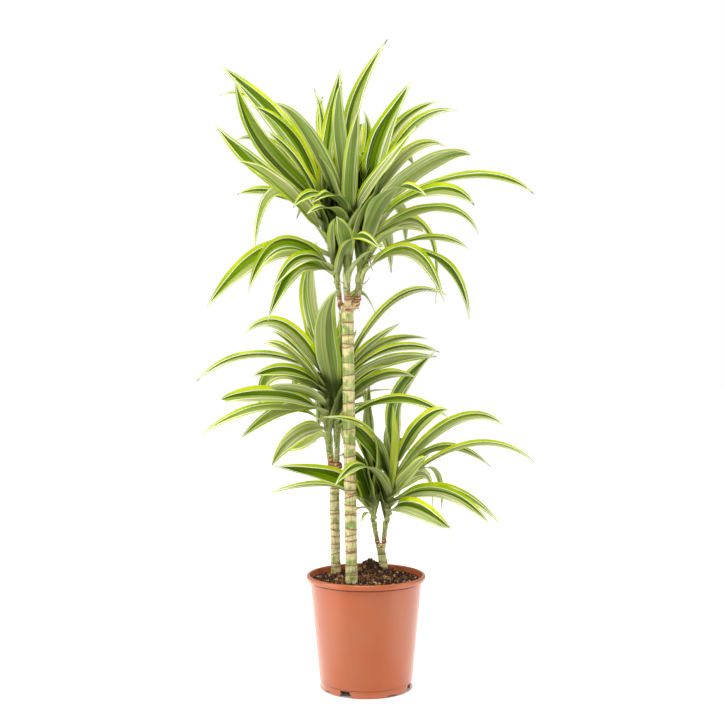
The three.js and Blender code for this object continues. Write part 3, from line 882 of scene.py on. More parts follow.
@dataclass(frozen=True)
class ShootFinish(Finish):
    """A green shoot: overlapping leaf sheaths with pale rims, brown and papery at its foot.

    It reads the attribute "scar" as the cane does, with the share of the way up as its third
    number.
    """

    olive: Colour = (140, 152, 62)
    green: Colour = (88, 116, 24)
    grey: Colour = (184, 188, 140)
    rim: Colour = (206, 208, 128)
    brown: Colour = (150, 84, 56)
    papery: Colour = (206, 176, 128)
    dark: Colour = (34, 30, 10)
    streak_sizes: tuple[float, float, float] = (4.0 * MM, 1.1 * MM, 0.03)
    speck: float = 1.6 * MM
    rim_below: Pair = (2.2 * MM, 1.2 * MM)
    rim_above: Pair = (0.5 * MM, 0.0)
    shadow_from: Pair = (0.0, 0.4 * MM)
    shadow_to: Pair = (2.6 * MM, 0.6 * MM)
    shadow_strength: float = 0.5
    foot_at: Fade = (0.075, 0.04, 0.0, 0.9)
    ring_step: float = 4 * MM

    def colour(self, pen: Pen) -> Look:
        """Streaks of green and grey, then the sheaths' rims, then the brown foot.

        Args:
            pen: Draws in the tree.

        Returns:
            The colour, the height of the relief, and the roughness.
        """
        over, tone, share = pen.split(pen.attribute("scar"))
        bands, lines, height = pen.group(streaks_group(), pen.position(), *self.streak_sizes)
        patches, specks, _ = pen.group(grain_group(), pen.position(), self.speck)
        colour = pen.mix(pen.fade(tone, 0.3, 0.7), self.olive, self.green)
        colour = pen.mix(pen.times(bands, 0.7), colour, self.grey)
        colour = pen.mix(pen.times(lines, 0.35), colour, self.green)
        below = pen.times(over, -1.0)
        rim = pen.times(pen.fade(below, *self.rim_below), pen.fade(over, *self.rim_above))
        rim = pen.times(rim, pen.fade(specks, 0.35, 0.55, 0.25, 0.8))
        colour = pen.mix(rim, colour, self.rim)
        colour = pen.mix(pen.fade(patches, 0.52, 0.62, 0.0, 0.7), colour, self.papery)
        shadow = pen.times(pen.fade(over, *self.shadow_from), pen.fade(over, *self.shadow_to))
        colour = pen.mix(pen.times(shadow, self.shadow_strength), colour, self.dark)
        foot = pen.plus(share, pen.scaled(patches, 0.14, -0.07))
        z = pen.times(pen.split(pen.position())[2], 2 * math.pi / self.ring_step)
        band = pen.math("SINE", pen.scaled(patches, 8.0, z))
        bark = pen.mix(pen.fade(band, 0.2, 0.9), self.brown, self.papery)
        colour = pen.mix(pen.fade(foot, *self.foot_at), colour, bark)
        return colour, height, self.roughness


@dataclass(frozen=True)
class PeatFinish(Finish):
    """Potting soil. The attribute "crumb" gives each crumb or fibre its tone, from dark to pale."""

    black: Colour = (30, 16, 8)
    dark: Colour = (66, 38, 20)
    brown: Colour = (140, 90, 50)
    tan: Colour = (186, 134, 84)
    straw: Colour = (232, 204, 148)
    speck: float = 1.2 * MM
    speck_weight: float = 0.5
    patch_weight: float = 0.4
    steps: tuple[Pair, ...] = ((0.0, 0.3), (0.3, 0.6), (0.66, 0.92), (0.96, 1.16))

    def colour(self, pen: Pen) -> Look:
        """From black through brown to straw by the tone, mottled by the grain.

        Args:
            pen: Draws in the tree.

        Returns:
            The colour, the height of the relief, and the roughness.
        """
        mottled = pen.split(pen.attribute("crumb"))[0]
        patches, specks, height = pen.group(grain_group(), pen.position(), self.speck)
        for noise, weight in ((specks, self.speck_weight), (patches, self.patch_weight)):
            mottled = pen.plus(mottled, pen.scaled(noise, weight, -weight / 2))
        colour = self.black
        for ends, paler in zip(self.steps, (self.dark, self.brown, self.tan, self.straw)):
            colour = pen.mix(pen.fade(mottled, *ends), colour, paler)
        return colour, height, self.roughness


@dataclass(frozen=True)
class PotFinish(Finish):
    """Terracotta-coloured moulded plastic with a soft sheen, faint moulding rings, some dust and painted
    shade.

    flare is how much wider the wall's inside grows with the height.
    """

    body: Colour = (186, 104, 66)
    warm: Colour = (190, 98, 54)
    dusty: Colour = (212, 150, 118)
    # The dark brown is painted shade: the line under the rim, the wall's inside and the underside.
    shade_colour: Colour = (84, 36, 20)
    speck: float = 0.5 * MM
    dust_at: Fade = (16 * MM, 2 * MM, 0.0, 0.4)
    # The line under the rim is a painted shadow of the rim.
    rim_shadow_height: float = 186.2 * MM
    line_at: Pair = (1.9 * MM, 0.9 * MM)
    line_strength: float = 0.6
    rim_roughness: Fade = (186 * MM, 189 * MM, 0.0, -0.09)
    flare: float = 0.102
    # Where the painted shade lies inside the wall and beneath the floor, and how strong it is.
    inside_at: Pair = (78.5 * MM, 78.0 * MM)
    inside_from: Pair = (100 * MM, 110 * MM)
    inside_strength: float = 0.3
    foot_inside_at: Pair = (77.2 * MM, 75.6 * MM)
    foot_below: Pair = (14 * MM, 12 * MM)
    foot_strength: float = 0.92

    def colour(self, pen: Pen) -> Look:
        """The body colour, warmer in soft patches, dusty at the foot, with painted shade under the rim,
        inside and beneath.

        Args:
            pen: Draws in the tree.

        Returns:
            The colour, the height of the relief, and the roughness.
        """
        patches, specks, height = pen.group(grain_group(), pen.position(), self.speck)
        place = pen.position()
        x, y, z = pen.split(place)
        cloud = pen.noise(place, 11.0, 2.0)
        colour = pen.mix(pen.fade(cloud, 0.35, 0.65), self.body, self.warm)
        dust = pen.times(pen.fade(z, *self.dust_at), patches)
        colour = pen.mix(dust, colour, self.dusty)
        colour = pen.mix(pen.fade(specks, 0.6, 0.75, 0.0, 0.1), colour, self.dusty)
        # Painted shadow: a dark line just under the rim.
        away = pen.math("ABSOLUTE", pen.math("SUBTRACT", z, self.rim_shadow_height))
        line = pen.times(pen.fade(away, *self.line_at), self.line_strength)
        colour = pen.mix(line, colour, self.shade_colour)
        # Painted shade inside the wall and under the floor, which shows through the notches.
        colour = pen.mix(self.shade_mask(pen, x, y, z), colour, self.shade_colour)
        rings = pen.noise(pen.vector(0.0, 0.0, pen.times(z, 130.0)), 1.0, 1.0)
        height = pen.scaled(rings, 2.0, pen.times(height, 0.5))
        roughness = pen.scaled(patches, 0.12, self.roughness - 0.06)
        worn = pen.fade(z, *self.rim_roughness)
        return colour, height, pen.plus(roughness, worn)

    def shade_mask(self, pen: Pen, x: Socket, y: Socket, z: Socket) -> Socket:
        """Mask of the painted shade: strong under the floor and in the foot, weak inside the wall.

        The wall's inside is where the radius less the flare times the height is small.

        Args:
            pen: Draws in the tree.
            x: Sideways place.
            y: Place towards the back.
            z: Height.

        Returns:
            How much of the stain shows, from 0 to 1.
        """
        radius = pen.math("SQRT", pen.plus(pen.times(x, x), pen.times(y, y)))
        under = pen.times(pen.fade(radius, *self.foot_inside_at), pen.fade(z, *self.foot_below))
        straight = pen.scaled(z, -self.flare, radius)
        wall = pen.times(pen.fade(straight, *self.inside_at), pen.fade(z, *self.inside_from))
        strong = pen.times(under, self.foot_strength)
        return pen.math("MAXIMUM", strong, pen.times(wall, self.inside_strength))


# --- where things are


@dataclass(frozen=True)
class Eye:
    """The eye that the photograph was taken from. It looks level along +Y.

    Leaves and stems are listed as they look from here: a place is x and z on the upright plane
    through the pot's axis, and how far behind that plane it really is, all in millimetres.
    """

    x: float = -7.2 * MM
    distance: float = 1900 * MM
    height: float = 568 * MM
    lens: float = 53.8
    sensor: float = 36.0
    farthest: float = 100.0

    def seen(self, places: Array | Sequence) -> Array:
        """Moves each place along its line of sight to its real depth.

        The distance from the middle of the view grows by (distance + depth) / distance.

        Args:
            places: Places as they are listed, (..., 3).

        Returns:
            The real places, in metres.
        """
        x, z, depth = np.moveaxis(np.asarray(places, float) * MM, -1, 0)
        reach = (self.distance + depth) / self.distance
        return np.stack([self.x + (x - self.x) * reach, depth, self.height + (z - self.height) * reach], -1)


EYE = Eye()


class Leaf(NamedTuple):
    """One leaf: its shoot, the height of its root there, its half-way point, its tip, its full
    width in millimetres, and the degrees that its upper face is turned to the front.

    lean says which half has the wide margin: -1 the left one, seen from above with the tip ahead,
    and 1 the right one. tone goes from 0, dark green, to 1, pale grey-green, and is -1 for a leaf
    that is lime all over. Both are spread over the leaves where they are left out.
    """

    shoot: str
    height: float
    half: Place
    tip: Place
    width: float
    turn: float = 0
    lean: float | None = None
    tone: float | None = None


# --- pot


@dataclass
class Pot:
    """The nursery pot: a tapered, turned wall with a rolled rim, and a foot with drain notches.

    The sizes are in millimetres, as in the solids.
    """

    height: float = 196.5
    rim_radius: float = 105.0
    mouth_radius: float = 98.6
    lip_height: float = 9.1
    wall_top_radius: float = 98.0
    wall: float = 1.8
    groove: float = 0.7
    foot_top_radius: float = 79.6
    foot_radius: float = 78.4
    foot_height: float = 12.4
    foot_width: float = 9.4
    wall_foot_radius: float = 81.4
    floor_bottom: float = 3.5
    floor_top: float = 6.4
    pad_radius: float = 20.0
    notch_turns: tuple[float, ...] = (-27, 70.5, 153, -109.5)
    notch_width: Pair = (22.5, 17)
    notch_height: float = 11.0
    slot_turns: tuple[float, ...] = (34, 124, 214, -56)
    slot_width: float = 18.0
    slot_height: float = 3.0
    notch_depth: float = 14.0
    hole_radius: float = 6.5
    hole_circle: float = 44.0
    hole_turns: tuple[float, ...] = (0.25, 0.75, 1.25, 1.75)
    hole_reach: Pair = (-5.0, 12.0)
    shoulder: float = 1.3
    rings: tuple[float, float, float] = (142.6, 144.2, 145.8)
    ring_rise: float = 0.07
    neck: Pair = (0.3, 3.0)
    overshoot: float = 3.0
    crease: float = 35.0
    columns: int = 180
    hole_columns: int = 32
    bend_points: int = 6
    finish: Finish = PotFinish("terracotta_plastic", roughness=0.32, bump=0.05, relief=0.2 * MM)

    def inside_radius(self, height: float) -> float:
        """Radius of the wall's inside: straight from behind the groove to under the rim.

        Args:
            height: Height over the floor.

        Returns:
            The radius.
        """
        low = self.foot_top_radius - self.groove - self.wall
        high = self.wall_top_radius - self.wall
        share = (height - self.foot_height) / (self.height - self.lip_height - self.foot_height)
        return low + share * (high - low)

    def wall_radius(self, height: float) -> float:
        """Radius of the wall's outside: straight from over the foot to under the rim.

        Args:
            height: Height over the floor.

        Returns:
            The radius.
        """
        low = self.foot_height + self.shoulder
        inward, below = self.neck
        share = (height - low) / (self.height - self.lip_height - below - low)
        return self.wall_foot_radius + share * (self.wall_top_radius - inward - self.wall_foot_radius)

    def outline(self) -> Array:
        """The half outline, from the pad below round the rim to the floor inside.

        Every corner is given with a radius, and is rounded to it by the quadratic curve between
        the points that lie that far before and after it.

        Returns:
            Radius and height of each point, (n, 2), in millimetres.
        """
        top, rim, foot = self.wall_top_radius, self.rim_radius, self.foot_radius
        lip = self.height - self.lip_height
        foot_inner = foot - self.foot_width
        under, middle, over = self.rings
        corners = np.array(
            [
                (self.pad_radius, 0, 0.4),
                (self.pad_radius + 2, self.floor_bottom, 0.8),
                (foot_inner - 1.5, self.floor_bottom, 0.8),
                (foot_inner, 0, 0.5),
                (foot, 0, 1.0),
                (self.foot_top_radius, self.foot_height, 0.3),
                (self.foot_top_radius - self.groove, self.foot_height + 0.4, 0.2),
                (self.wall_foot_radius, self.foot_height + self.shoulder, 0.7),
                (self.wall_radius(under), under, 0.5),
                (self.wall_radius(middle) + self.ring_rise, middle, 0.5),
                (self.wall_radius(over), over, 0.5),
                (top - self.neck[0], lip - self.neck[1], 0.3),
                (top - 1.8, lip - 2.0, 0.4),
                (top - 1.6, lip - 0.2, 0.4),
                (rim - 0.8, lip, 0.9),
                (rim, lip + 2.6, 1.6),
                (rim - 0.2, self.height - 2.2, 1.9),
                (rim - 3.0, self.height, 1.8),
                (self.mouth_radius, self.height - 0.9, 1.2),
                (self.mouth_radius + 0.1, lip, 1.5),
                (self.inside_radius(lip - 4), lip - 4, 1.0),
                (self.inside_radius(self.floor_top + 2), self.floor_top + 2, 0.8),
                (self.inside_radius(self.floor_top + 2) - 1.8, self.floor_top, 0.8),
                (self.pad_radius, self.floor_top, 0.5),
            ]
        )
        points, radii = corners[:, :2], corners[1:-1, 2:]
        before = points[1:-1] + unit(points[:-2] - points[1:-1]) * radii
        after = points[1:-1] + unit(points[2:] - points[1:-1]) * radii
        t = np.linspace(0, 1, self.bend_points)[None, :, None]
        bend = (
            (1 - t) ** 2 * before[:, None]
            + 2 * t * (1 - t) * points[1:-1, None]
            + t**2 * after[:, None]
        )
        return np.vstack([points[:1], bend.reshape(-1, 2), points[-1:]])

    def turned(self) -> Surface:
        """The outline turned about the axis: x and y are the radius times sine and cosine.

        Returns:
            The surface, in metres.
        """
        outline = self.outline() * MM
        angle = ring_angles(self.columns)
        radius, height = outline[:, :1], outline[:, 1:]
        rows = np.stack(
            [radius * np.sin(angle), -radius * np.cos(angle), height + 0 * angle], axis=-1
        )
        return Surface.loft(rows[None], Cap.FAN)

    def cutter(self, turn: float, width: Pair, height: float) -> Surface:
        """A wedge through the foot: a four-sided section carried inwards from outside it.

        Args:
            turn: Degrees round from the front.
            width: Its width at the floor and at its top, in millimetres.
            height: Its height over the floor, in millimetres.

        Returns:
            The wedge, in metres.
        """
        below = 2.0
        flare = (width[0] - width[1]) / 2 / height
        low, high = width[0] / 2 + flare * below, width[1] / 2
        section = np.array([(-low, -below), (low, -below), (high, height), (-high, height)])
        outside = self.foot_radius + self.overshoot
        reach = -np.array([outside, outside - self.notch_depth])
        rings = np.empty((2, 4, 3))
        rings[..., 0], rings[..., 1], rings[..., 2] = section[:, 0], reach[:, None], section[:, 1]
        c, s = math.cos(math.radians(turn)), math.sin(math.radians(turn))
        spun = rings @ np.array([(c, s, 0), (-s, c, 0), (0, 0, 1)])
        return Surface.loft(spun[None] * MM, Cap.FAN)

    def drill(self, turn: float) -> Surface:
        """A round drain hole's cutter: a circle carried straight up through the floor.

        Args:
            turn: Where it is, in half turns round the axis.

        Returns:
            The cutter, in metres.
        """
        path = np.array([(0, 0, height) for height in self.hole_reach])
        rings = tube(path, np.full((2, self.hole_columns), self.hole_radius), level=True)
        angle = math.pi * turn
        middle = [self.hole_circle * math.cos(angle), self.hole_circle * math.sin(angle), 0]
        return Surface.loft((rings + middle)[None] * MM, Cap.FAN)

    def build(self) -> None:
        """Turns the pot, cuts its notches, slots and holes, and dresses it."""
        piece = self.turned().piece("nursery_pot", self.finish.material(), "pot", self.crease)
        slot = (self.slot_width, self.slot_width)
        cuts = [self.cutter(turn, self.notch_width, self.notch_height) for turn in self.notch_turns]
        cuts += [self.cutter(turn, slot, self.slot_height) for turn in self.slot_turns]
        cuts += [self.drill(turn) for turn in self.hole_turns]
        tool = placed("cuts", Surface.joined(cuts).mesh("cuts"))
        modifier = piece.modifiers.new("cuts", "BOOLEAN")
        modifier.operation, modifier.object, modifier.solver = "DIFFERENCE", tool, "EXACT"
        cut = piece.evaluated_get(bpy.context.evaluated_depsgraph_get())
        piece.data = bpy.data.meshes.new_from_object(cut)
        piece.modifiers.clear()
        shade(piece.data, self.crease)
        bpy.data.objects.remove(tool)
        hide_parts("pot")


# --- soil


@dataclass
class Soil:
    """Potting soil: a lumpy bed with a mound at the back, loose crumbs, and fibres on top.

    The sizes are in millimetres, as in the solids.
    """

    pot: Pot
    level: float = 186.0
    lump: float = 2.6
    lumps: tuple[Pair, ...] = ((1.5, 15), (1.5, 6.5), (0.8, 2.8))
    rim_fade: Pair = (0.88, 0.12)
    mounds: tuple[tuple[Pair, float, float], ...] = (
        ((3, 62), 18.0, 21.0),
        ((30, 66), 24.0, 9.0),
        ((-46, 20), 22.0, 4.0),
    )
    gap: float = 0.3
    rows: int = 70
    columns: int = 200
    crumbs: int = 3900
    crumb_size: Pair = (0.7, 2.2)
    chip_share: float = 0.985
    chip_more: float = 1.8
    crumb_push: Pair = (0.45, 1.35)
    crumb_stretch: Pair = (0.6, 1.4)
    fibres: int = 130
    fibre_length: Pair = (6, 20)
    fibre_curl: float = 1.2
    fibre_arch: Pair = (0.4, 2.2)
    fibre_radius: Pair = (0.22, 0.5)
    finish: Finish = PeatFinish("peat", roughness=0.88, bump=0.8, relief=0.8 * MM)

    @property
    def edge(self) -> float:
        """Radius of the bed's rim."""
        return self.pot.inside_radius(self.level - self.lump) - 2 * self.gap

    def height(self, x: Array, y: Array) -> Array:
        """Height of the bed: three sizes of lumps, and bell-shaped mounds, fading at the rim.

        Args:
            x: Sideways places.
            y: Places towards the back, of the same shape.

        Returns:
            The heights.
        """
        sizes = enumerate(self.lumps, 1)
        raised = self.lump + sum(tall * value_noise(x / wide, y / wide, seed) for seed, (tall, wide) in sizes)
        start, width = self.rim_fade
        inside = 1 - smooth((np.hypot(x, y) / self.edge - start) / width)
        for (middle, back), spread_out, tall in self.mounds:
            raised = raised + tall * np.exp(-((x - middle) ** 2 + (y - back) ** 2) / spread_out**2)
        return self.level - self.lump + inside * raised

    def bed(self) -> Surface:
        """The body of soil: straight sides under rings whose height is the bed's.

        Returns:
            The surface, in metres.
        """
        bottom = self.pot.floor_top + self.gap
        corner = bottom + 2
        angle = ring_angles(self.columns)
        low = self.pot.inside_radius(corner) - 2 * self.gap
        radius = np.concatenate([[low - 2, low], np.linspace(self.edge, 0.4, self.rows)])[:, None]
        x, y = radius * np.sin(angle), -radius * np.cos(angle)
        z = self.height(x, y)
        z[0], z[1] = bottom, corner
        tone = 0.16 + 0.1 * value_noise(x / 4, y / 4, 4)
        # The bed's sides are painted black: painted shade where they show through the pot's notches.
        tone[:2] = -1.0
        tones = np.stack([tone, 0 * tone, 0 * tone], -1)
        return Surface.loft(np.stack([x, y, z], -1)[None] * MM, Cap.FAN, {"crumb": tones[None]})

    def scattered(self, random: np.random.Generator, count: int, margin: float) -> tuple[Array, Array]:
        """Even random places on the bed, up to a margin from its rim.

        Args:
            random: Where the random numbers come from.
            count: How many places.
            margin: How far they keep from the rim.

        Returns:
            x and y of the places.
        """
        radius = (self.edge - margin) * np.sqrt(random.random(count))
        angle = 2 * math.pi * random.random(count)
        return radius * np.sin(angle), -radius * np.cos(angle)

    def loose_crumbs(self) -> Surface:
        """Crumbs: small balls of four rings whose points are pushed in and out at random.

        Returns:
            The surface, in metres.
        """
        random = np.random.default_rng(11)
        x, y = self.scattered(random, self.crumbs, 3.0)
        least, more = self.crumb_size
        size = least + more * random.random(self.crumbs) ** 3
        size = np.where(random.random(self.crumbs) > self.chip_share, size + self.chip_more, size)
        ball = unit_ball(4, 6, 0.12)
        push = random.uniform(*self.crumb_push, (self.crumbs, *ball.shape[:2], 1))
        stretch = random.uniform(*self.crumb_stretch, (self.crumbs, 1, 1, 3))
        middle = np.stack([x, y, self.height(x, y) + 0.3 * size], -1)
        grids = middle[:, None, None] + ball * push * stretch * size[:, None, None, None]
        lighter = 0.5 + 0.5 * value_noise(x / 13, y / 13, 5)
        tone = 0.02 + 1.05 * random.random(self.crumbs) ** (3.2 - 1.9 * lighter)
        tones = np.zeros_like(grids)
        tones[..., 0] = tone[:, None, None]
        return Surface.loft(grids * MM, Cap.FAN, {"crumb": tones})

    def loose_fibres(self) -> Surface:
        """Fibres: thin three-sided strands that curve sideways and arch off the bed.

        Returns:
            The surface, in metres.
        """
        random = np.random.default_rng(12)
        x, y = self.scattered(random, self.fibres, 12.0)
        length = random.uniform(*self.fibre_length, self.fibres)[:, None]
        turn = random.uniform(0, 2 * math.pi, self.fibres)[:, None]
        curl = random.uniform(-self.fibre_curl, self.fibre_curl, self.fibres)[:, None]
        t = np.linspace(-0.5, 0.5, 7)
        heading = turn + curl * t
        px = x[:, None] + length * t * np.cos(heading)
        py = y[:, None] + length * t * np.sin(heading)
        arch = random.uniform(*self.fibre_arch, self.fibres)[:, None] * (1 - (2 * t) ** 2)
        pz = self.height(px, py) + 0.7 + arch
        path = np.stack([px, py, pz], -1)
        thick = random.uniform(*self.fibre_radius, self.fibres)[:, None] * (1 - 0.6 * (2 * t) ** 2)
        angle = ring_angles(3)
        right = np.stack([-np.sin(heading), np.cos(heading), 0 * heading], -1)
        up = np.array([0.0, 0.0, 1.0])
        grids = (
            path[:, :, None]
            + right[:, :, None] * (thick[..., None] * np.cos(angle))[..., None]
            + up * (thick[..., None] * np.sin(angle))[..., None]
        )
        tones = np.zeros_like(grids)
        tones[..., 0] = random.uniform(0.5, 1.05, self.fibres)[:, None, None]
        return Surface.loft(grids * MM, Cap.FAN, {"crumb": tones})

    def build(self) -> None:
        """Makes the bed in the soil's place, and lays the crumbs and fibres on it."""
        material = self.finish.material()
        bed = self.bed().piece("soil_bed", material, "soil", crease=180)
        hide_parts("soil")
        self.loose_crumbs().piece("soil_crumbs", material, "soil", crease=75)
        self.loose_fibres().piece("soil_fibres", material, "soil", crease=180)


# --- canes


@dataclass
class Cane:
    """A bare cane, and the callus on its cut end.

    foot, top and the sizes are in millimetres, as in the solids. scars lists the leaf scars as
    they look from the eye: the height and how far the ring slants, up to the right. knots lists
    the callus's lumps: the place of each, its half width and half height, and how pale it is.
    swell, lip and dip are the heights and widths of the bells under, over and on a scar, and
    last_gap is how much bark is taken to follow the last scar.
    """

    name: str
    foot: Pair
    top: Place
    radius: float
    buried_to: float
    scars: tuple[Pair, ...]
    knots: tuple[tuple[Place, Pair, float], ...]
    soil_level: float = 186.0
    swell: Pair = (0.55, 3.2)
    lip: Pair = (0.25, 1.1)
    dip: Pair = (0.5, 0.5)
    dip_over: float = 0.3
    row_step: float = 0.9
    last_gap: float = 12.0
    columns: int = 56
    lump_rings: tuple[int, int] = (20, 28)
    bark: Finish = CaneFinish("cane_bark", roughness=0.5, bump=0.35, relief=0.35 * MM)
    callus: Finish = KnotFinish("callus_bark", roughness=0.66, bump=0.7, relief=0.8 * MM)

    def scar_levels(self, angle: Array) -> Array:
        """Height of each scar round the cane: level, plus a slant, plus a low second wave.

        Args:
            angle: The angles round the cane.

        Returns:
            The heights, (scars, angles), in metres.
        """
        table = np.array(self.scars)
        depth = self.foot[1]
        level = EYE.seen(np.stack([0 * table[:, 0], table[:, 0], 0 * table[:, 0] + depth], -1))[:, 2]
        count = np.arange(len(table))[:, None]
        slant = table[:, 1:] * MM * np.cos(angle)
        back = 1.6 * MM * np.sin(angle) * np.cos(2 * math.pi * spread(count + 1))
        wave = 0.5 * MM * np.sin(2 * angle + 2 * math.pi * spread(3 * count))
        return level[:, None] + slant + back + wave

    def skin(self) -> Surface:
        """The cane: a straight tube whose radius swells under each scar and dips at it.

        The swelling is half a bell below the scar, and the dip is a narrow bell on it. A slow
        noise makes the cane a little uneven.

        Returns:
            The surface.
        """
        low, high = self.buried_to * MM, self.top[2] * MM
        above = np.arange(self.soil_level - 8, self.top[2], self.row_step) * MM
        height = np.concatenate([np.linspace(low, above[0], 6)[:-1], above, [high]])
        share = (height / MM - self.soil_level) / (self.top[2] - self.soil_level)
        x = self.foot[0] + share * (self.top[0] - self.foot[0])
        y = self.foot[1] + share * (self.top[1] - self.foot[1])
        path = np.stack([x * MM, y * MM, height], -1)
        angle = ring_angles(self.columns)
        levels = self.scar_levels(angle)
        rows = height[:, None] + 0 * angle
        nearest, away = nearest_ring(rows, levels)
        swell = bell(np.minimum(away, 0), *self.swell) * (away <= 0)
        lip = bell(np.maximum(away, 0), *self.lip) * (away > 0)
        dip = bell(away - self.dip_over * MM, *self.dip)
        uneven = 0.35 * MM * value_noise(rows / (17 * MM), 5 + 3 * np.cos(angle), 21)
        fine = 0.14 * MM * value_noise(rows / (3 * MM), 9 + 6 * np.sin(angle), 22)
        radius = self.radius * MM + swell + lip - dip + uneven + fine
        ring = nearest + (away > 0)
        above = np.take_along_axis(levels, np.minimum(ring, len(levels) - 1), 0)
        gap = np.where(ring < len(levels), above - rows, self.last_gap * MM)
        tones = np.stack([away, spread(ring * 2.0 + len(self.scars)), gap], -1)
        grid = tube(path, radius, level=True)
        return Surface.loft(grid[None], Cap.FAN, {"scar": tones[None]})

    def lumps(self) -> Surface:
        """The callus: overlapping balls, each pushed in and out by noise over its surface.

        Returns:
            The surface.
        """
        ball = unit_ball(*self.lump_rings, 0.03)
        x, y, z = np.moveaxis(ball, -1, 0)
        flat = np.ones_like(x)
        grids, tones = [], []
        for count, (place, (wide, tall), pale) in enumerate(self.knots):
            push = 1 + 0.2 * value_noise(2.2 * x + 7, 2.2 * z + 3 * y + 9, 30 + count)
            push += 0.07 * value_noise(7 * x + 9, 7 * z + 5 * y + 9, 40 + count)
            grids.append(EYE.seen(place) + ball * push[..., None] * np.array([wide, wide, tall]) * MM)
            tones.append(np.stack([z - 0.5 * x**2, pale * flat, 0 * flat], -1))
        return Surface.loft(np.array(grids), Cap.FAN, {"scar": np.array(tones)})

    def build(self) -> None:
        """Makes the bark in the cane's place, and the callus on it."""
        bark = self.skin().piece(f"{self.name}_bark", self.bark.material(), "cane", crease=180)
        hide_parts(f"{self.name}_cane")
        self.lumps().piece(f"{self.name}_callus", self.callus.material(), "cane", crease=180)


# --- heads


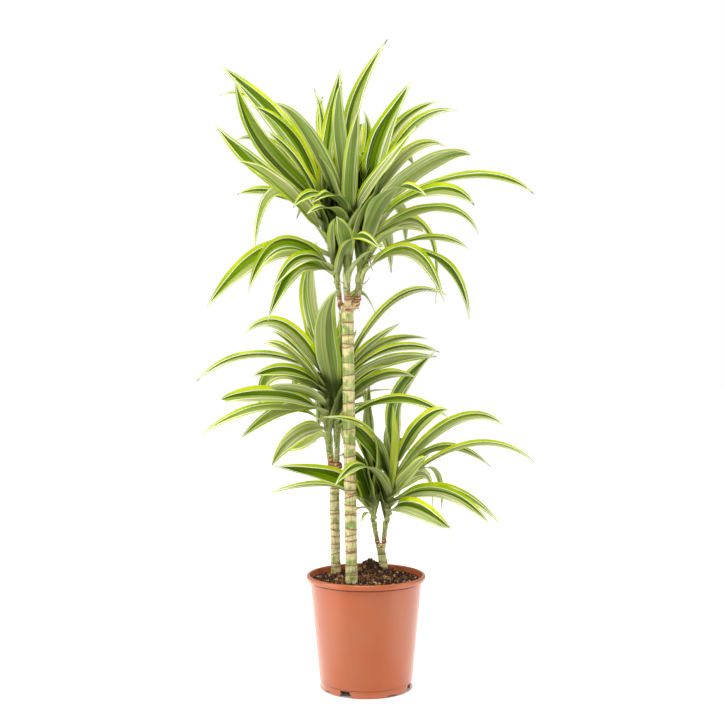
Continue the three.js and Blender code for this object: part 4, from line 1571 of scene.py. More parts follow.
@dataclass
class Head:
    """The leafy head of one cane: green shoots, and the leaves that clasp them.

    shoots lists the middle line of each shoot, and leaves the leaves, as they look from the eye.
    The sizes are in millimetres, as in the solids.
    """

    name: str
    shoots: dict[str, tuple[Place, ...]]
    leaves: tuple[Leaf, ...]
    girth: dict[str, float]
    shoot_radius: float = 5.8
    shoot_tip_radius: float = 3.2
    sheath: float = 8.5
    lean: float = 8.0
    base_share: float = 0.46
    widest_at: float = 0.4
    tip_share: float = 0.03
    taper: float = 2.4
    clasp: float = 1.2
    clasp_share: float = 0.07
    twist: float = 26.0
    gutter: Pair = (0.5, 0.32)
    gutter_blur: float = 0.16
    keel: Pair = (0.5, 0.18)
    wave: float = 0.07
    waves: Pair = (2.2, 1.6)
    launch: Pair = (0.9, 0.42)
    rib: float = 0.9
    margin: float = 0.4
    stations: int = 47
    across: int = 9
    inner_from: float = 28.0
    inner_below: float = 10.0
    inner_full: float = 150.0
    inner_step: float = 12.0
    inner_reach: Pair = (20, 52)
    inner_rise: Pair = (84, 158)
    inner_width: float = 30.0
    bare: float = 64.0
    sheath_from: float = 9.0
    sheath_step: float = 6.5
    sheath_rise: float = 44.0
    sheath_out: Pair = (5.4, 7.2)
    sheath_width: float = 10.5
    sheath_edge: Pair = (0.6, 3.5)
    stem_rings: tuple[int, int] = (160, 28)
    stubs: tuple[tuple[Place, Place], ...] = ()
    stub_rings: tuple[int, int] = (9, 6)
    # The cube, the look-out, the crowding range and the bright foot set the leaves' painted shade.
    cube: float = 12.0
    look_out: float = 18.0
    shade_crowding: Pair = (7.0, 22.0)
    bright_foot: float = 130.0
    leaf: Finish = LeafFinish("striped_leaf", roughness=0.36, bump=0.3, relief=0.35 * MM)
    stem: Finish = ShootFinish("green_shoot", roughness=0.48, bump=0.4, relief=0.4 * MM)

    def on_line(self, shoot: str, height: float) -> Pair:
        """How far right and how far back a shoot's middle line is at a height."""
        right, up, back = zip(*self.shoots[shoot])
        return float(np.interp(height, up, right)), float(np.interp(height, up, back))

    def inner_leaves(self) -> tuple[Leaf, ...]:
        """The steep, short leaves round each shoot, which hide it.

        They follow each other up the shoot by a golden angle, and reach out less than the rest.

        Returns:
            The leaves.
        """
        leaves = []
        for shoot, line in self.shoots.items():
            low, high = line[0][1] + self.inner_from, line[-1][1] - self.inner_below
            full = min(1.0, (high - low) / self.inner_full)
            for count in range(int((high - low) / self.inner_step)):
                height = low + count * self.inner_step
                turn = math.pi * (1.3 * float(spread(count + len(leaves))) - 0.15)
                c, s = math.cos(turn), math.sin(turn)
                x, depth = self.on_line(shoot, height)
                size = full * (0.8 + 0.3 * float(spread(3 * count + 1)))
                half, tip = (
                    (x + reach * size * c, height + rise * size, depth + reach * size * s)
                    for reach, rise in zip(self.inner_reach, self.inner_rise)
                )
                leaves.append(Leaf(shoot, height, half, tip, self.inner_width * size))
        return tuple(leaves)

    def sheaths(self) -> tuple[Leaf, ...]:
        """The bases of shed leaves, which clasp the bare foot of each shoot like pointed scales.

        They follow each other up the shoot by a golden angle, and lean out only a little.

        Returns:
            The leaves.
        """
        leaves = []
        for shoot, line in self.shoots.items():
            girth = self.girth.get(shoot, 1.0)
            low = line[0][1] + self.sheath_from
            for count in range(int(self.bare / self.sheath_step)):
                height = low + count * self.sheath_step
                turn = 2 * math.pi * float(spread(count + len(leaves)))
                c, s = girth * math.cos(turn), girth * math.sin(turn)
                depth = self.on_line(shoot, height)[1]
                tall = self.sheath_rise * (0.7 + 0.6 * float(spread(2 * count + 1)))
                half, tip = (
                    (self.on_line(shoot, height + rise)[0] + out * c, height + rise, depth + out * s)
                    for rise, out in zip((0.5 * tall, tall), self.sheath_out)
                )
                leaves.append(Leaf(shoot, height, half, tip, self.sheath_width * girth))
        return tuple(leaves)

    def roots(self) -> tuple[Array, Array]:
        """Where each leaf starts, and which way its shoot runs there.

        The root lies on the straight stretch of the shoot's line that holds its height.

        Returns:
            Points and directions, (leaves, 3).
        """
        points, runs = [], []
        for leaf in self.leaves:
            line = np.array(self.shoots[leaf.shoot], float)
            step = int(np.clip(np.searchsorted(line[:, 1], leaf.height) - 1, 0, len(line) - 2))
            low, high = line[step], line[step + 1]
            share = (leaf.height - low[1]) / (high[1] - low[1])
            points.append(EYE.seen(low + share * (high - low)))
            runs.append(unit(EYE.seen(high) - EYE.seen(low)))
        return np.array(points), np.array(runs)

    def midribs(self) -> tuple[Array, Array, Array, Array]:
        """The leaves' midribs.

        Each is a cubic curve that sets out partly towards its half-way point and partly along
        the shoot, passes the half-way point and ends at the tip.

        Returns:
            Points and directions, (leaves, stations, 3), the leaves' lengths, and the level
            directions in which they reach out, (leaves, 3).
        """
        root, run = self.roots()
        half = EYE.seen([leaf.half for leaf in self.leaves])
        tip = EYE.seen([leaf.tip for leaf in self.leaves])
        length = np.linalg.norm(half - root, axis=1) + np.linalg.norm(tip - half, axis=1)
        start = unit(unit(half - root) * self.launch[0] + run * self.launch[1])
        first = root + start * length[:, None] / 3
        second = (8 * half - root - 3 * first - tip) / 3
        control = np.stack([root, first, second, tip], axis=1)
        t = np.linspace(0, 1, self.stations)
        weights = np.stack([(1 - t) ** 3, 3 * t * (1 - t) ** 2, 3 * t**2 * (1 - t), t**3], -1)
        slopes = np.stack(
            [-3 * (1 - t) ** 2, 3 * (1 - t) * (1 - 3 * t), 3 * t * (2 - 3 * t), 3 * t**2], -1
        )
        outward = (half - root) + (tip - root)
        outward[:, 2] = 0
        return weights @ control, unit(slopes @ control), length, unit(outward)

    def half_widths(self, t: Array) -> Array:
        """Half the width of each leaf along it.

        It swells by smoothstep to its widest place, and then falls as 1 less a power of the share
        that is left, down to a thread. At its root it is wide enough to clasp the shoot.

        Args:
            t: Shares of the way along, (1, stations).

        Returns:
            The half widths, (leaves, stations), in metres.
        """
        width = np.array([leaf.width for leaf in self.leaves])[:, None] * MM
        rise = self.base_share + (1 - self.base_share) * smooth(t / self.widest_at)
        fall = 1 - np.maximum(0, (t - self.widest_at) / (1 - self.widest_at)) ** self.taper
        half = width / 2 * np.maximum(rise * fall, self.tip_share)
        clasp = (self.shoot_radius + self.clasp) * MM * (1 - smooth(t / self.clasp_share))
        return np.maximum(half, clasp) * (0.2 + 0.8 * smooth(t / 0.04))

    def blades(self) -> Surface:
        """All the leaves: thin straps, folded to a gutter, whose two faces meet at the margins.

        Across a leaf, u runs from -1 to 1. A point is the midrib's point, plus u half widths to
        the right, plus the gutter's rise, which is the rounded size of u, plus a slow wave in the
        margins, plus or minus half the thickness.

        Returns:
            The surface, with the attributes that its finish reads.
        """
        point, along, length, outward = self.midribs()
        count = np.arange(len(self.leaves))[:, None]
        t = np.linspace(0, 1, self.stations)[None]
        half = self.half_widths(t)
        side = unit(np.cross([0.0, 0.0, 1.0], outward))[:, None]
        natural = unit(np.cross(along, side))
        across = np.cross(along, natural)
        handed = np.where(across[:, self.stations // 2, 1] <= 0, 1.0, -1.0)[:, None]
        turn = np.radians([leaf.turn for leaf in self.leaves])[:, None] * smooth(t / 0.3)
        sideways = np.abs(outward[:, :1]) * (turn[:, -1:] > 0)
        facing = 0.7 * (np.radians(80) - turn[:, -1:]) * sideways
        twist = np.radians(self.twist) * (spread(5 * count + 2) - 0.5) + facing
        angle = turn + twist * smooth((t - 0.4) / 0.5)
        up = natural * np.cos(angle)[..., None] + across * (handed * np.sin(angle))[..., None]
        right = np.cross(along, up)

        top = np.linspace(-1, 1, self.across)
        u = np.concatenate([top, top[::-1]])
        face = np.concatenate([np.ones(self.across), -np.ones(self.across)])
        soft = self.gutter_blur
        fold = (np.sqrt(u**2 + soft**2) - soft) / (math.hypot(1, soft) - soft)
        steep, shallow = self.gutter
        depth = steep + (shallow - steep) * smooth(t / 0.5) + 0.5 * (1 - smooth(t / 0.12))
        grow = smooth(t / 0.25) * (1 - 0.5 * smooth((t - 0.7) / 0.3))
        waves = (self.waves[0] + self.waves[1] * spread(count)) * t + spread(2 * count)
        ripple = np.sin(2 * math.pi * waves[..., None] + 1.9 * np.sign(u))
        wave = self.wave * (half * grow)[..., None] * ripple * u**2
        rise = (half * depth)[..., None] * fold + wave
        tall, wide = self.keel
        keel = tall * MM * (1 - t)[..., None] * np.exp(-((u / wide) ** 2)) * (face < 0)
        thick = (self.rib + (self.margin - self.rib) * np.abs(u)) * MM / 2
        lift = rise + face * thick - keel
        grids = (
            point[:, :, None]
            + right[:, :, None] * (half[..., None] * u)[..., None]
            + up[:, :, None] * lift[..., None]
        )
        flat = np.ones_like(lift)
        reach = (length[:, None] * t)[..., None] * flat
        place = np.stack([half[..., None] * u, reach, half[..., None] * (1 - np.abs(u))], -1)
        leaf = np.stack([spread(count + 1)[..., None] * flat, t[..., None] * flat, (face < 0) * flat], -1)
        # How deep in the foliage each point lies, which the finish paints as shade.
        crowding = np.zeros_like(grids)
        crowding[..., 0] = self.crowding(point, half, grids)
        values = {"place": place, "leaf": leaf, "crowding": crowding, "look": self.looks(outward, half, flat)}
        return Surface.loft(grids, Cap.FOLD, values)

    def looks(self, outward: Array, half: Array, flat: Array) -> Array:
        """What each leaf looks like: which half has the wide margin, how pale it is, and its width.

        Where the table says nothing, the upper half of an arching leaf has the wide margin, more
        or less, and the tones are spread evenly.

        Args:
            outward: The level directions in which the leaves reach out, (leaves, 3).
            half: The half widths along them, (leaves, stations).
            flat: Ones, (leaves, stations, columns).

        Returns:
            The lean, the tone and the greatest half width at each point, (leaves, stations, columns, 3).
        """
        count = np.arange(len(self.leaves))
        usual = np.clip(1.2 * (spread(7 * count + 3) - 0.5) - 0.7 * outward[:, 0], -1, 1)
        lean = [own if leaf.lean is None else leaf.lean for own, leaf in zip(usual, self.leaves)]
        usual = spread(13 * count + 5)
        tone = [own if leaf.tone is None else leaf.tone for own, leaf in zip(usual, self.leaves)]
        table = np.stack([lean, tone, half.max(axis=1)], -1)
        return table[:, None, None] * flat[..., None]

    def crowding(self, point: Array, half: Array, grids: Array) -> Array:
        """How deep in the foliage each point lies, from 0 in the open to 1 where it is densest.

        The leaves' half widths are summed over cubes of space, the sums are blurred over the
        cubes beside them, and each point reads the sum a little further out than itself, blended
        between the eight cubes round that place. It fades to 0 at the foot of the shoots. The
        leaves' finish darkens by it, as painted shade.

        Args:
            point: The midribs' points, (leaves, stations, 3).
            half: The half widths there, (leaves, stations).
            grids: The points to read for, (leaves, stations, columns, 3).

        Returns:
            The crowding, (leaves, stations, columns).
        """
        cell = self.cube * MM
        low = grids.min(axis=(0, 1, 2)) - 6 * cell
        size = ((grids.max(axis=(0, 1, 2)) - low) / cell).astype(int) + 8
        mass = np.zeros(size)
        np.add.at(mass, tuple(np.moveaxis(((point - low) / cell).astype(int), -1, 0)), half)
        for axis in (0, 1, 2, 0, 1, 2):
            mass = (np.roll(mass, 1, axis) + mass + np.roll(mass, -1, axis)) / 3
        outer = grids + unit(grids - point[:, 0].mean(axis=0)) * self.look_out * MM
        place = (outer - low) / cell - 0.5
        start = np.floor(place).astype(int)
        share = place - start
        read = np.zeros(grids.shape[:-1])
        for corner in np.ndindex(2, 2, 2):
            weight = np.prod(np.where(corner, share, 1 - share), axis=-1)
            read += weight * mass[tuple(np.moveaxis(start + corner, -1, 0))]
        open_air, packed = self.shade_crowding
        bare = smooth((grids[..., 2] - point[:, 0, 2].min()) / (self.bright_foot * MM))
        return bare * smooth((read / MM - open_air) / (packed - open_air))

    def stems(self) -> Surface:
        """The shoots: tubes that narrow upwards, and step out under the rim of each sheath.

        Returns:
            The surface.
        """
        grids, tones = [], []
        tall, wide = self.sheath_edge
        for count, (shoot, line) in enumerate(self.shoots.items()):
            path = smooth_path(EYE.seen(line), self.stem_rings[0])
            reach = np.concatenate([[0], np.cumsum(np.linalg.norm(np.diff(path, axis=0), axis=1))])
            t = (reach / reach[-1])[:, None]
            angle = ring_angles(self.stem_rings[1])
            ring = np.arange(int(reach[-1] / (self.sheath * MM)) + 2)[:, None]
            lean = self.lean * (0.7 + 0.3 * spread(ring + count))
            start = 0.95 * ring + 2.1 * count
            levels = (ring * self.sheath + lean * np.cos(angle + start)) * MM
            rows = reach[:, None] + 0 * angle
            nearest, over = nearest_ring(rows, levels)
            radius = self.shoot_radius + (self.shoot_tip_radius - self.shoot_radius) * smooth(t - 0.2)
            step = np.exp(-np.maximum(-over, 0) / (wide * MM)) * (over <= 0)
            radius = radius + tall * step + 0.3 * value_noise(rows / 0.02, 4 + 2 * np.cos(angle), 50 + count)
            radius = radius * self.girth.get(shoot, 1.0)
            grids.append(tube(path, radius * MM))
            ring = nearest + (over > 0)
            tones.append(np.stack([over, spread(ring + 3 * count), t + 0 * angle], -1))
        shoots = Surface.loft(np.array(grids), Cap.FAN, {"scar": np.array(tones)})
        if not self.stubs:
            return shoots
        steps, sides = self.stub_rings
        share = np.linspace(0, 1, steps)[:, None]
        twigs = []
        for start, end in self.stubs:
            start, end = EYE.seen(start), EYE.seen(end)
            bow = np.array([0, 0, 1.0]) * np.linalg.norm(end - start) * 0.12 * np.sin(math.pi * share)
            path = start + share * (end - start) - bow
            twigs.append(tube(path, (1.1 - 0.8 * share) * MM + np.zeros(sides)))
        dry = np.zeros((len(twigs), steps, sides, 3))
        dry[..., 0] = -9 * MM
        return Surface.joined([shoots, Surface.loft(np.array(twigs), Cap.FAN, {"scar": dry})])

    def build(self) -> None:
        """Makes the leaves and shoots in the crown's place."""
        self.leaves = (*self.leaves, *self.inner_leaves(), *self.sheaths())
        leaves = self.blades().piece(f"{self.name}_leaves", self.leaf.material(), "leaf")
        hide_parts(f"{self.name}_crown")
        self.stems().piece(f"{self.name}_shoots", self.stem.material(), "leaf", crease=180)


# --- the plant's tables

TALL_CANE = Cane(
    name="tall",
    foot=(-25, -30),
    top=(-32.6, -30, 666.4),
    radius=10.3,
    buried_to=70,
    scars=(
        (194, 1.6), (198.5, 3.0), (212.5, -0.8), (232, 0.5), (237.5, 0.3), (255, 0.4), (264, 3.2),
        (276.7, -1.4), (298.5, 0.3), (302.5, 0.6), (317.5, -1.9), (331, 2.5), (339, -0.3),
        (343, 0.5), (358, -1.2), (372, 1.4), (388, -0.8), (403, 1.2), (425, -1.8), (450, 1.5),
        (475, -1.0), (495, 2.0), (518, -0.6), (545, 1.2), (565, -1.5), (595, 1.6), (599, -0.8),
        (615, 1.2), (638, 0.5), (656, -0.3),
    ),
    knots=(
        ((-31, 662.5, -30), (12, 7), 0.5),
        ((-44.5, 667, -29), (5.4, 8), 0.1),
        ((-47, 674.5, -28), (3.4, 4.6), 0.7),
        ((-32, 672, -37), (6.2, 7.5), 0.7),
        ((-32.5, 681, -34), (6.2, 4.6), 0.1),
        ((-18, 669.5, -29), (7.8, 8), 0.4),
        ((-14.8, 680, -28), (6.2, 6.5), 0.1),
    ),
)
MIDDLE_CANE = Cane(
    name="middle",
    foot=(-54, 45),
    top=(-57.2, 45, 375.5),
    radius=8.5,
    buried_to=85,
    scars=(
        (196, -0.5), (209.5, 0.8), (216, -0.5), (231.5, 1.6), (243, -0.6), (249, 0.5), (262, 0.6),
        (275, -1.8), (284, 1.4), (303.5, 0.6), (308.5, -0.8), (324, 1.5), (338, -0.8), (346, 0.6),
        (360, -1.0),
    ),
    knots=(
        ((-55.5, 384, 45), (12, 8.5), 0.15),
        ((-63, 397, 43), (4.5, 11), 0.0),
        ((-46, 386, 46), (4.5, 6), 0.1),
    ),
)
SHORT_CANE = Cane(
    name="short",
    bark=CaneFinish(
        "green_cane_bark", roughness=0.5, bump=0.35, relief=0.35 * MM,
        cream=(218, 212, 146), green=(156, 170, 92), streak=(98, 124, 44), rosy=(150, 110, 72),
    ),
    foot=(34, 60),
    top=(26, 60, 237),
    radius=7.7,
    buried_to=120,
    scars=((206, 0.5), (219, -0.6), (232, 0.5), (243, 0.3)),
    knots=(
        ((26, 245, 60), (8.4, 5.5), 0.45),
        ((19.5, 254, 58), (4.6, 8), 0.0),
        ((31.5, 255, 58), (4.6, 7.5), 0.0),
    ),
)

TALL_LEAVES = (
    # the fan to the upper left
    Leaf("left", 838, (-142, 972, 25), (-253, 1087, 60), 40, 70, 0.5, 0.35),
    Leaf("left", 822, (-160, 922, -15), (-231, 1068, -30), 40, 60, -0.6, 0.2),
    Leaf("left", 830, (-118, 943, -34), (-204, 1018, -50), 30, 55),
    Leaf("left", 814, (-112, 903, -50), (-176, 975, -85), 30, 60),
    Leaf("mid", 806, (-84, 938, -40), (-160, 1023, -70), 28, -50),
    # upright leaves in the middle
    Leaf("left", 850, (-73, 950, 20), (-91, 1048, 50), 20, 50),
    Leaf("mid", 830, (-47, 955, -45), (-42, 1060, -60), 28),
    Leaf("left", 842, (-64, 965, 4), (-45, 1083, 20), 30, 20, -0.3, 0.3),
    Leaf("mid", 814, (-66, 940, 80), (-76, 1034, 130), 28, 20),
    Leaf("mid", 862, (-29, 988, 14), (38, 1135, 20), 28, 75, -0.8, 0.15),
    Leaf("mid", 790, (-27, 905, -62), (-12, 1013, -90), 28, 0, 0.1, 0.35),
    Leaf("mid", 822, (-4, 920, 22), (-4, 1009, 50), 22, 40),
    # the fan to the upper right
    Leaf("right", 850, (22, 945, -12), (80, 1062, -15), 44, 80, -0.8, 0.3),
    Leaf("right", 843, (42, 957, 36), (128, 1026, 70), 26, 45),
    Leaf("right", 836, (62, 957, 6), (160, 1009, 12), 24, 45),
    Leaf("mid", 800, (17, 889, -60), (88, 982, -100), 30, 75, -0.3, 0.9),
    Leaf("right", 836, (62, 926, 60), (140, 946, 90), 24, 50, -0.4, 0.95),
    Leaf("right", 815, (92, 903, -30), (185, 931, -50), 34, -50, -0.2, 0.7),
    Leaf("right", 808, (152, 889, 36), (294, 863, 60), 26, 24),
    Leaf("right", 792, (95, 861, -55), (190, 843, -95), 34, 35),
    Leaf("right", 764, (35, 853, -96), (105, 861, -180), 46, 15, -0.6, 0.0),
    Leaf("right", 778, (106, 835, 20), (197, 793, 30), 26, 40),
    Leaf("right", 771, (86, 814, 66), (122, 670, 80), 28, 60),
    Leaf("right", 785, (60, 806, 85), (100, 796, 150), 24),
    # drooping to the right
    Leaf("right", 750, (45, 795, -75), (104, 795, -140), 22),
    Leaf("right", 737, (88, 782, -25), (179, 767, -50), 22, 20),
    Leaf("right", 718, (66, 764, -85), (138, 672, -80), 28, 55),
    Leaf("right", 743, (112, 754, 8), (181, 642, 12), 30, 30),
    # over the front
    Leaf("left", 714, (-28, 779, -95), (28, 762, -140), 24, 25),
    Leaf("mid", 712, (-2, 755, -80), (34, 772, -112), 20, 20),
    Leaf("mid", 826, (-79, 863, -90), (-128, 839, -150), 24, 15),
    Leaf("mid", 796, (-60, 836, -96), (-104, 828, -160), 28, 10),
    Leaf("mid", 812, (-52, 857, -76), (-98, 846, -124), 28, 20),
    Leaf("mid", 738, (-38, 786, -78), (-52, 824, -104), 30),
    Leaf("left", 742, (-62, 786, -60), (-54, 821, -78), 14),
    # drooping to the left
    Leaf("left", 722, (-134, 774, -62), (-207, 690, -85), 32, 60),
    Leaf("left", 750, (-170, 759, -8), (-279, 665, -20), 40, 72, 0.6, 0.55),
    Leaf("left", 726, (-108, 751, -100), (-163, 694, -140), 26, 45),
    Leaf("left", 716, (-114, 737, -30), (-173, 640, -42), 32, 68),
    Leaf("left", 790, (-143, 867, 35), (-198, 749, 50), 30, 55, -0.8, 0.7),
    Leaf("left", 806, (-146, 860, 60), (-226, 862, 100), 26, 30),
    Leaf("left", 792, (-158, 882, -56), (-265, 985, -80), 38, 60, -0.3, 0.6),
    Leaf("left", 767, (-136, 861, -84), (-227, 922, -130), 38, 62, -0.5, 0.75),
    Leaf("left", 782, (-98, 846, 75), (-138, 866, 140), 24),
    Leaf("left", 834, (-150, 985, 60), (-258, 1036, 90), 20, 40),
    Leaf("left", 810, (-140, 925, 60), (-233, 955, 90), 26, 30),
    # at the back
    Leaf("mid", 846, (-20, 955, 125), (-12, 975, 225), 36),
    Leaf("left", 846, (-96, 925, 115), (-150, 942, 205), 34),
    Leaf("right", 822, (42, 915, 120), (84, 912, 215), 34),
    Leaf("left", 775, (-84, 862, 125), (-122, 820, 220), 34),
    Leaf("mid", 774, (-22, 850, 125), (-24, 785, 225), 34),
    Leaf("right", 757, (42, 838, 120), (70, 770, 205), 34),
    Leaf("left", 742, (-44, 800, 110), (-44, 728, 190), 30),
    Leaf("right", 730, (26, 790, 100), (44, 724, 175), 30),
)
TALL_HEAD = Head(
    name="tall",
    shoots={
        "left": ((-46, 672, -27), (-49, 698, -24), (-56, 738, -20), (-67, 785, -15), (-75, 852, -10)),
        "mid": ((-32, 676, -37), (-34, 700, -32), (-32, 740, -22), (-31, 800, -10), (-31, 868, -2)),
        "right": ((-16.5, 674, -28), (-12.5, 700, -25), (-7.5, 722, -21), (0, 750, -15), (6, 858, -5)),
    },
    girth={"left": 0.7, "mid": 1.0, "right": 1.0},
    stubs=(
        ((-9, 703, -27), (7, 717, -30)),
        ((-37, 706, -34), (-46, 711.5, -38)),
        ((-50, 684, -27), (-59.5, 689, -30)),
        ((6, 752, -24), (12, 727, -34)),
    ),
    leaves=TALL_LEAVES,
)

MIDDLE_LEAVES = (
    # upright
    Leaf("left", 545, (-94, 655, 72), (-86, 780, 92), 44, 72, -0.6, 1),
    Leaf("right", 494, (-70, 597, -4), (-51, 696, -58), 44, 0, -0.7, 0.5),
    Leaf("right", 532, (-46, 592, 34), (-48, 668, 24), 20, 60),
    # to the left, from the top down
    Leaf("left", 508, (-116, 582, -22), (-165, 622, -50), 20, 45, 0, 0),
    Leaf("left", 525, (-128, 620, 70), (-214, 617, 110), 28, 60, 0.9, 0.6),
    Leaf("left", 500, (-120, 572, 2), (-178, 600, 8), 22, 45, 0.3, 1),
    Leaf("left", 530, (-180, 580, 40), (-298, 534, 62), 20, 35, 0.8, 0.6),
    Leaf("left", 505, (-122, 549, -24), (-200, 543, -70), 30, 45, 0.9, 0.1),
    Leaf("left", 500, (-142, 550, -6), (-186, 480, -4), 30, 65, 0, 0.95),
    Leaf("left", 484, (-126, 518, -48), (-192, 510, -90), 28, -30),
    Leaf("left", 470, (-160, 508, -92), (-257, 501, -135), 36, 50, 0.9, 0.5),
    Leaf("left", 456, (-170, 489, -40), (-290, 439, -44), 20, 45, 0.3, 0.8),
    Leaf("left", 478, (-140, 487, -20), (-222, 432, -34), 24, 66, -0.2, 0.95),
    Leaf("left", 446, (-121, 441, -44), (-166, 383, -66), 30, 74, 0.2, 1),
    Leaf("left", 434, (-98, 431, 70), (-141, 413, 104), 26, 70, 0, 1),
    Leaf("left", 448, (-65, 398, 108), (-60, 250, 118), 26, 60),
    # to the right, behind the tall cane
    Leaf("right", 508, (22, 649, 34), (142, 685, 6), 20, 42, -0.8, 0.8),
    Leaf("right", 520, (-4, 590, 80), (59, 636, 135), 16, 40, -0.8, 0.7),
    Leaf("right", 512, (24, 582, 26), (129, 585, 30), 24, 25, -0.9, 0.4),
    Leaf("right", 500, (24, 563, 72), (124, 577, 104), 26, 45, 0, 0.95),
    Leaf("right", 514, (16, 592, 112), (107, 609, 180), 24, 25),
    Leaf("right", 482, (-12, 536, 30), (44, 562, 60), 16, 30, 0, 0),
    Leaf("right", 470, (8, 534, 50), (87, 541, 92), 28, 35),
    Leaf("right", 464, (-6, 510, 125), (46, 519, 200), 22),
    Leaf("right", 457, (-21, 488, 4), (20, 505, -64), 20),
    Leaf("right", 446, (36, 500, 14), (147, 468, -14), 24, 34, -0.2, 0.1),
    Leaf("right", 528, (-34, 656, 70), (16, 654, 92), 20, 35),
    # at the back
    Leaf("left", 538, (-84, 620, 140), (-104, 640, 230), 34),
    Leaf("right", 526, (-36, 604, 140), (-26, 606, 230), 34),
    Leaf("left", 491, (-100, 545, 140), (-132, 505, 230), 32),
    Leaf("right", 476, (-26, 540, 150), (-2, 492, 232), 32),
    Leaf("left", 455, (-76, 505, 135), (-86, 440, 205), 30),
    Leaf("right", 443, (-46, 480, 125), (-34, 408, 192), 30),
)
MIDDLE_HEAD = Head(
    name="middle",
    shoots={
        "left": ((-62, 388, 45), (-66, 420, 44), (-69, 455, 42), (-68, 500, 40), (-65, 552, 38)),
        "right": ((-51, 388, 45), (-51, 420, 44), (-52, 460, 42), (-53, 500, 40), (-54, 540, 38)),
    },
    girth={"left": 0.85, "right": 0.8},
    bare=54.0,
    leaves=MIDDLE_LEAVES,
)

SHORT_LEAVES = (
    # to the left, before and behind the tall cane
    Leaf("right", 318, (8, 379, -24), (-55, 351, -98), 34, 10, 0.6, 0.5),
    Leaf("right", 341, (18, 434, -18), (-78, 471, -112), 22, 35, 0.7, 0.3),
    Leaf("left", 306, (-48, 362, -2), (-162, 385, -8), 34, 62, 0.8, 0),
    Leaf("left", 299, (-60, 350, 18), (-174, 336, 40), 16, 20, 0.8, 0.8),
    Leaf("right", 350, (8, 418, 14), (-46, 470, 18), 36, 66, 0.2, 0),
    Leaf("left", 346, (-8, 388, 22), (-46, 404, 12), 30, 50),
    Leaf("left", 306, (3, 376, 14), (-22, 450, 12), 36, 66, -0.2, 0),
    Leaf("left", 310, (24, 374, 20), (12, 446, 24), 28, 50, 0, 0.1),
    Leaf("left", 290, (-4, 352, 34), (-30, 424, 60), 36, 70, -0.2, 0),
    Leaf("right", 296, (22, 356, 34), (8, 430, 40), 34, 60, 0.3, 0.05),
    Leaf("left", 296, (2, 303, 24), (-9, 286, 0), 10),
    Leaf("left", 303, (-4, 312, 14), (-20, 306, -6), 13),
    # upright
    Leaf("left", 366, (9, 448, 74), (6, 530, 92), 36, 72),
    Leaf("right", 378, (44, 484, 84), (121, 586, 150), 40, 75, -1, 0.1),
    Leaf("right", 322, (50, 408, 2), (46, 492, -10), 14, 0, 0, -1),
    Leaf("right", 371, (38, 415, 26), (37, 460, 10), 14),
    # to the right
    Leaf("right", 364, (86, 444, -10), (145, 484, -40), 34, 75, -0.9, 0.1),
    Leaf("right", 353, (136, 453, 64), (244, 455, 84), 24, 44, -0.9, 0.8),
    Leaf("right", 331, (160, 417, 26), (298, 390, 30), 16, 34, -0.9, 0.8),
    Leaf("right", 347, (120, 414, 84), (220, 383, 130), 22, 22),
    Leaf("right", 316, (78, 370, -46), (110, 406, -84), 34, 80, 0.1, 0.9),
    Leaf("right", 336, (106, 382, 112), (132, 305, 178), 18),
    Leaf("right", 326, (92, 372, 100), (116, 304, 140), 26, 60, 0, 1),
    Leaf("right", 310, (118, 341, -28), (217, 284, -58), 28, 52, -0.9, 0.6),
    Leaf("right", 318, (132, 347, 22), (239, 280, 20), 20, 42),
    Leaf("right", 300, (86, 311, -80), (152, 274, -140), 34, 52, -0.9, 0.3),
    # at the back
    Leaf("left", 360, (-4, 430, 140), (-16, 428, 228), 32),
    Leaf("right", 365, (56, 428, 150), (76, 412, 236), 32),
    Leaf("left", 330, (-10, 368, 145), (-28, 312, 215), 30),
    Leaf("right", 340, (44, 395, 150), (58, 334, 232), 30),
)
SHORT_HEAD = Head(
    name="short",
    shoots={
        "left": ((20, 253, 59), (16, 272, 57), (11.5, 298, 55), (12, 335, 52), (16, 374, 50)),
        "right": ((31, 253, 59), (33, 272, 57), (38, 300, 55), (44, 340, 52), (47, 386, 50)),
    },
    girth={"left": 0.68, "right": 0.74},
    bare=30.0,
    sheath_rise=26.0,
    leaves=SHORT_LEAVES,
)


# --- studio


@dataclass(frozen=True)
class Lamp:
    """A square soft box that faces the plant: its middle, width and power in metres and watts,
    and whether shiny surfaces mirror it."""

    name: str
    place: Place
    width: float
    power: float
    mirrored: bool = True


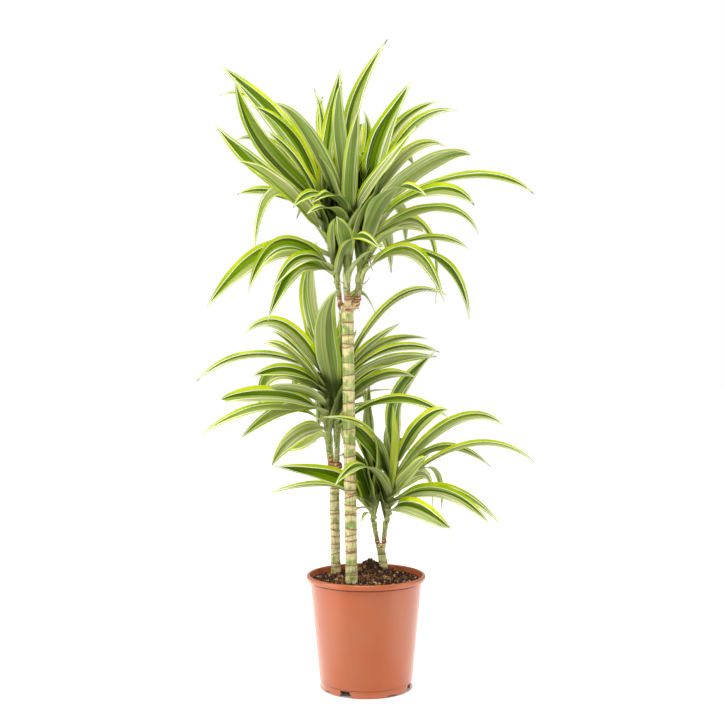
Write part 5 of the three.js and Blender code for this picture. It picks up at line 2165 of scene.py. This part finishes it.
@dataclass(frozen=True)
class Studio:
    """A white room with soft boxes, a pale floor and the camera."""

    lamps: tuple[Lamp, ...] = (
        Lamp("left_light", (-2.1, -0.7, 1.5), 1.7, 42),
        Lamp("right_light", (2.2, -0.5, 1.2), 1.5, 19.5),
        Lamp("top_light", (-0.2, -1.1, 2.7), 1.3, 34),
        Lamp("front_light", (0.1, -2.3, 0.8), 1.6, 15, mirrored=False),
    )
    target: Place = (0.0, 0.0, 0.6)
    room_light: Pair = (0.14, 0.62)
    floor_width: float = 40.0
    floor_colour: Place = (0.84, 0.83, 0.82)
    glow: float = 0.9
    glow_from: Pair = (0.0785, 0.086)
    sheen: float = 1.7
    sheen_from: Pair = (-0.12, 0.16)

    def room(self) -> None:
        """The world: pure white to the camera; as light it is bright behind and dim in front."""
        world = bpy.data.worlds.new("white_room")
        pen = pen_for(world)
        shown = pen.put("ShaderNodeBackground", {"Color": (1, 1, 1, 1), "Strength": 1.0}).outputs[0]
        way = pen.split(pen.put("ShaderNodeTexCoord").outputs["Generated"])[1]
        strength = pen.fade(way, -0.5, 0.7, *self.room_light)
        light = pen.put("ShaderNodeBackground", {"Color": (1, 1, 1, 1), "Strength": strength})
        path = pen.put("ShaderNodeLightPath").outputs["Is Camera Ray"]
        mixed = pen.put("ShaderNodeMixShader", {0: path, 1: light.outputs[0], 2: shown})
        pen.put("ShaderNodeOutputWorld", {0: mixed.outputs[0]})
        bpy.context.scene.world = world

    def floor(self) -> None:
        """A wide white floor, lit from within so that only contact shadows show.

        The light is for the camera, and for what shines: glossy surfaces mirror a white floor
        beside and behind the pot, and a darker one in front of it.
        """
        reach = self.floor_width / 2
        corners = [(-reach, -reach, 0), (reach, -reach, 0), (reach, reach, 0), (-reach, reach, 0)]
        mesh = bpy.data.meshes.new("floor")
        mesh.from_pydata(corners, [], [(0, 1, 2, 3)])
        material = bpy.data.materials.new("white_floor")
        pen = pen_for(material)
        away = pen.put("ShaderNodeVectorMath", {0: pen.position()}, operation="LENGTH").outputs["Value"]
        seen = pen.put("ShaderNodeLightPath").outputs["Is Camera Ray"]
        glow = pen.times(pen.times(pen.fade(away, *self.glow_from), seen), self.glow)
        mirrored = pen.put("ShaderNodeLightPath").outputs["Is Glossy Ray"]
        x, y, _ = pen.split(pen.position())
        beside = pen.scaled(pen.math("ABSOLUTE", x), 0.9, y)
        beside = pen.times(pen.fade(beside, *self.sheen_from), self.sheen)
        glow = pen.scaled(beside, mirrored, glow)
        inputs = {
            "Base Color": (*self.floor_colour, 1),
            "Roughness": 0.9,
            "Emission Color": (1, 1, 1, 1),
            "Emission Strength": glow,
        }
        shader = pen.put("ShaderNodeBsdfPrincipled", inputs)
        pen.put("ShaderNodeOutputMaterial", {0: shader.outputs[0]})
        material.cycles.emission_sampling = "NONE"
        mesh.materials.append(material)
        placed("floor", mesh)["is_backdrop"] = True

    def build(self) -> None:
        """Lights the room, lays the floor, and sets the camera at the eye."""
        self.room()
        self.floor()
        for lamp in self.lamps:
            light = bpy.data.lights.new(lamp.name, "AREA")
            light.size, light.energy = lamp.width, lamp.power
            box = placed(lamp.name, light)
            aim = Vector(self.target) - Vector(lamp.place)
            box.location = lamp.place
            box.rotation_euler = aim.to_track_quat("-Z", "Y").to_euler()
            box.visible_glossy = lamp.mirrored
        camera = placed("camera", bpy.data.cameras.new("camera"))
        camera.data.lens = EYE.lens
        camera.data.sensor_width = EYE.sensor
        camera.data.clip_end = EYE.farthest
        camera.location = (EYE.x, -EYE.distance, EYE.height)
        camera.rotation_euler = (math.pi / 2, 0, 0)
        bpy.context.scene.camera = camera
        bpy.context.scene.view_settings.view_transform = "Standard"


# --- the whole


def corners() -> list[list[float]]:
    """Lowest and highest corner of what shows, as plain numbers."""
    return [[float(number) for number in corner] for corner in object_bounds()]


def main() -> None:
    """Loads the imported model, dresses each sub-assembly, and lights it."""
    logging.basicConfig(level=logging.INFO, format="%(message)s")
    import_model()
    pot = Pot()
    pot.build()
    Soil(pot).build()
    for cane in (TALL_CANE, MIDDLE_CANE, SHORT_CANE):
        cane.build()
    for head in (TALL_HEAD, MIDDLE_HEAD, SHORT_HEAD):
        head.build()
    Studio().build()


if __name__ == "__main__":
    main()
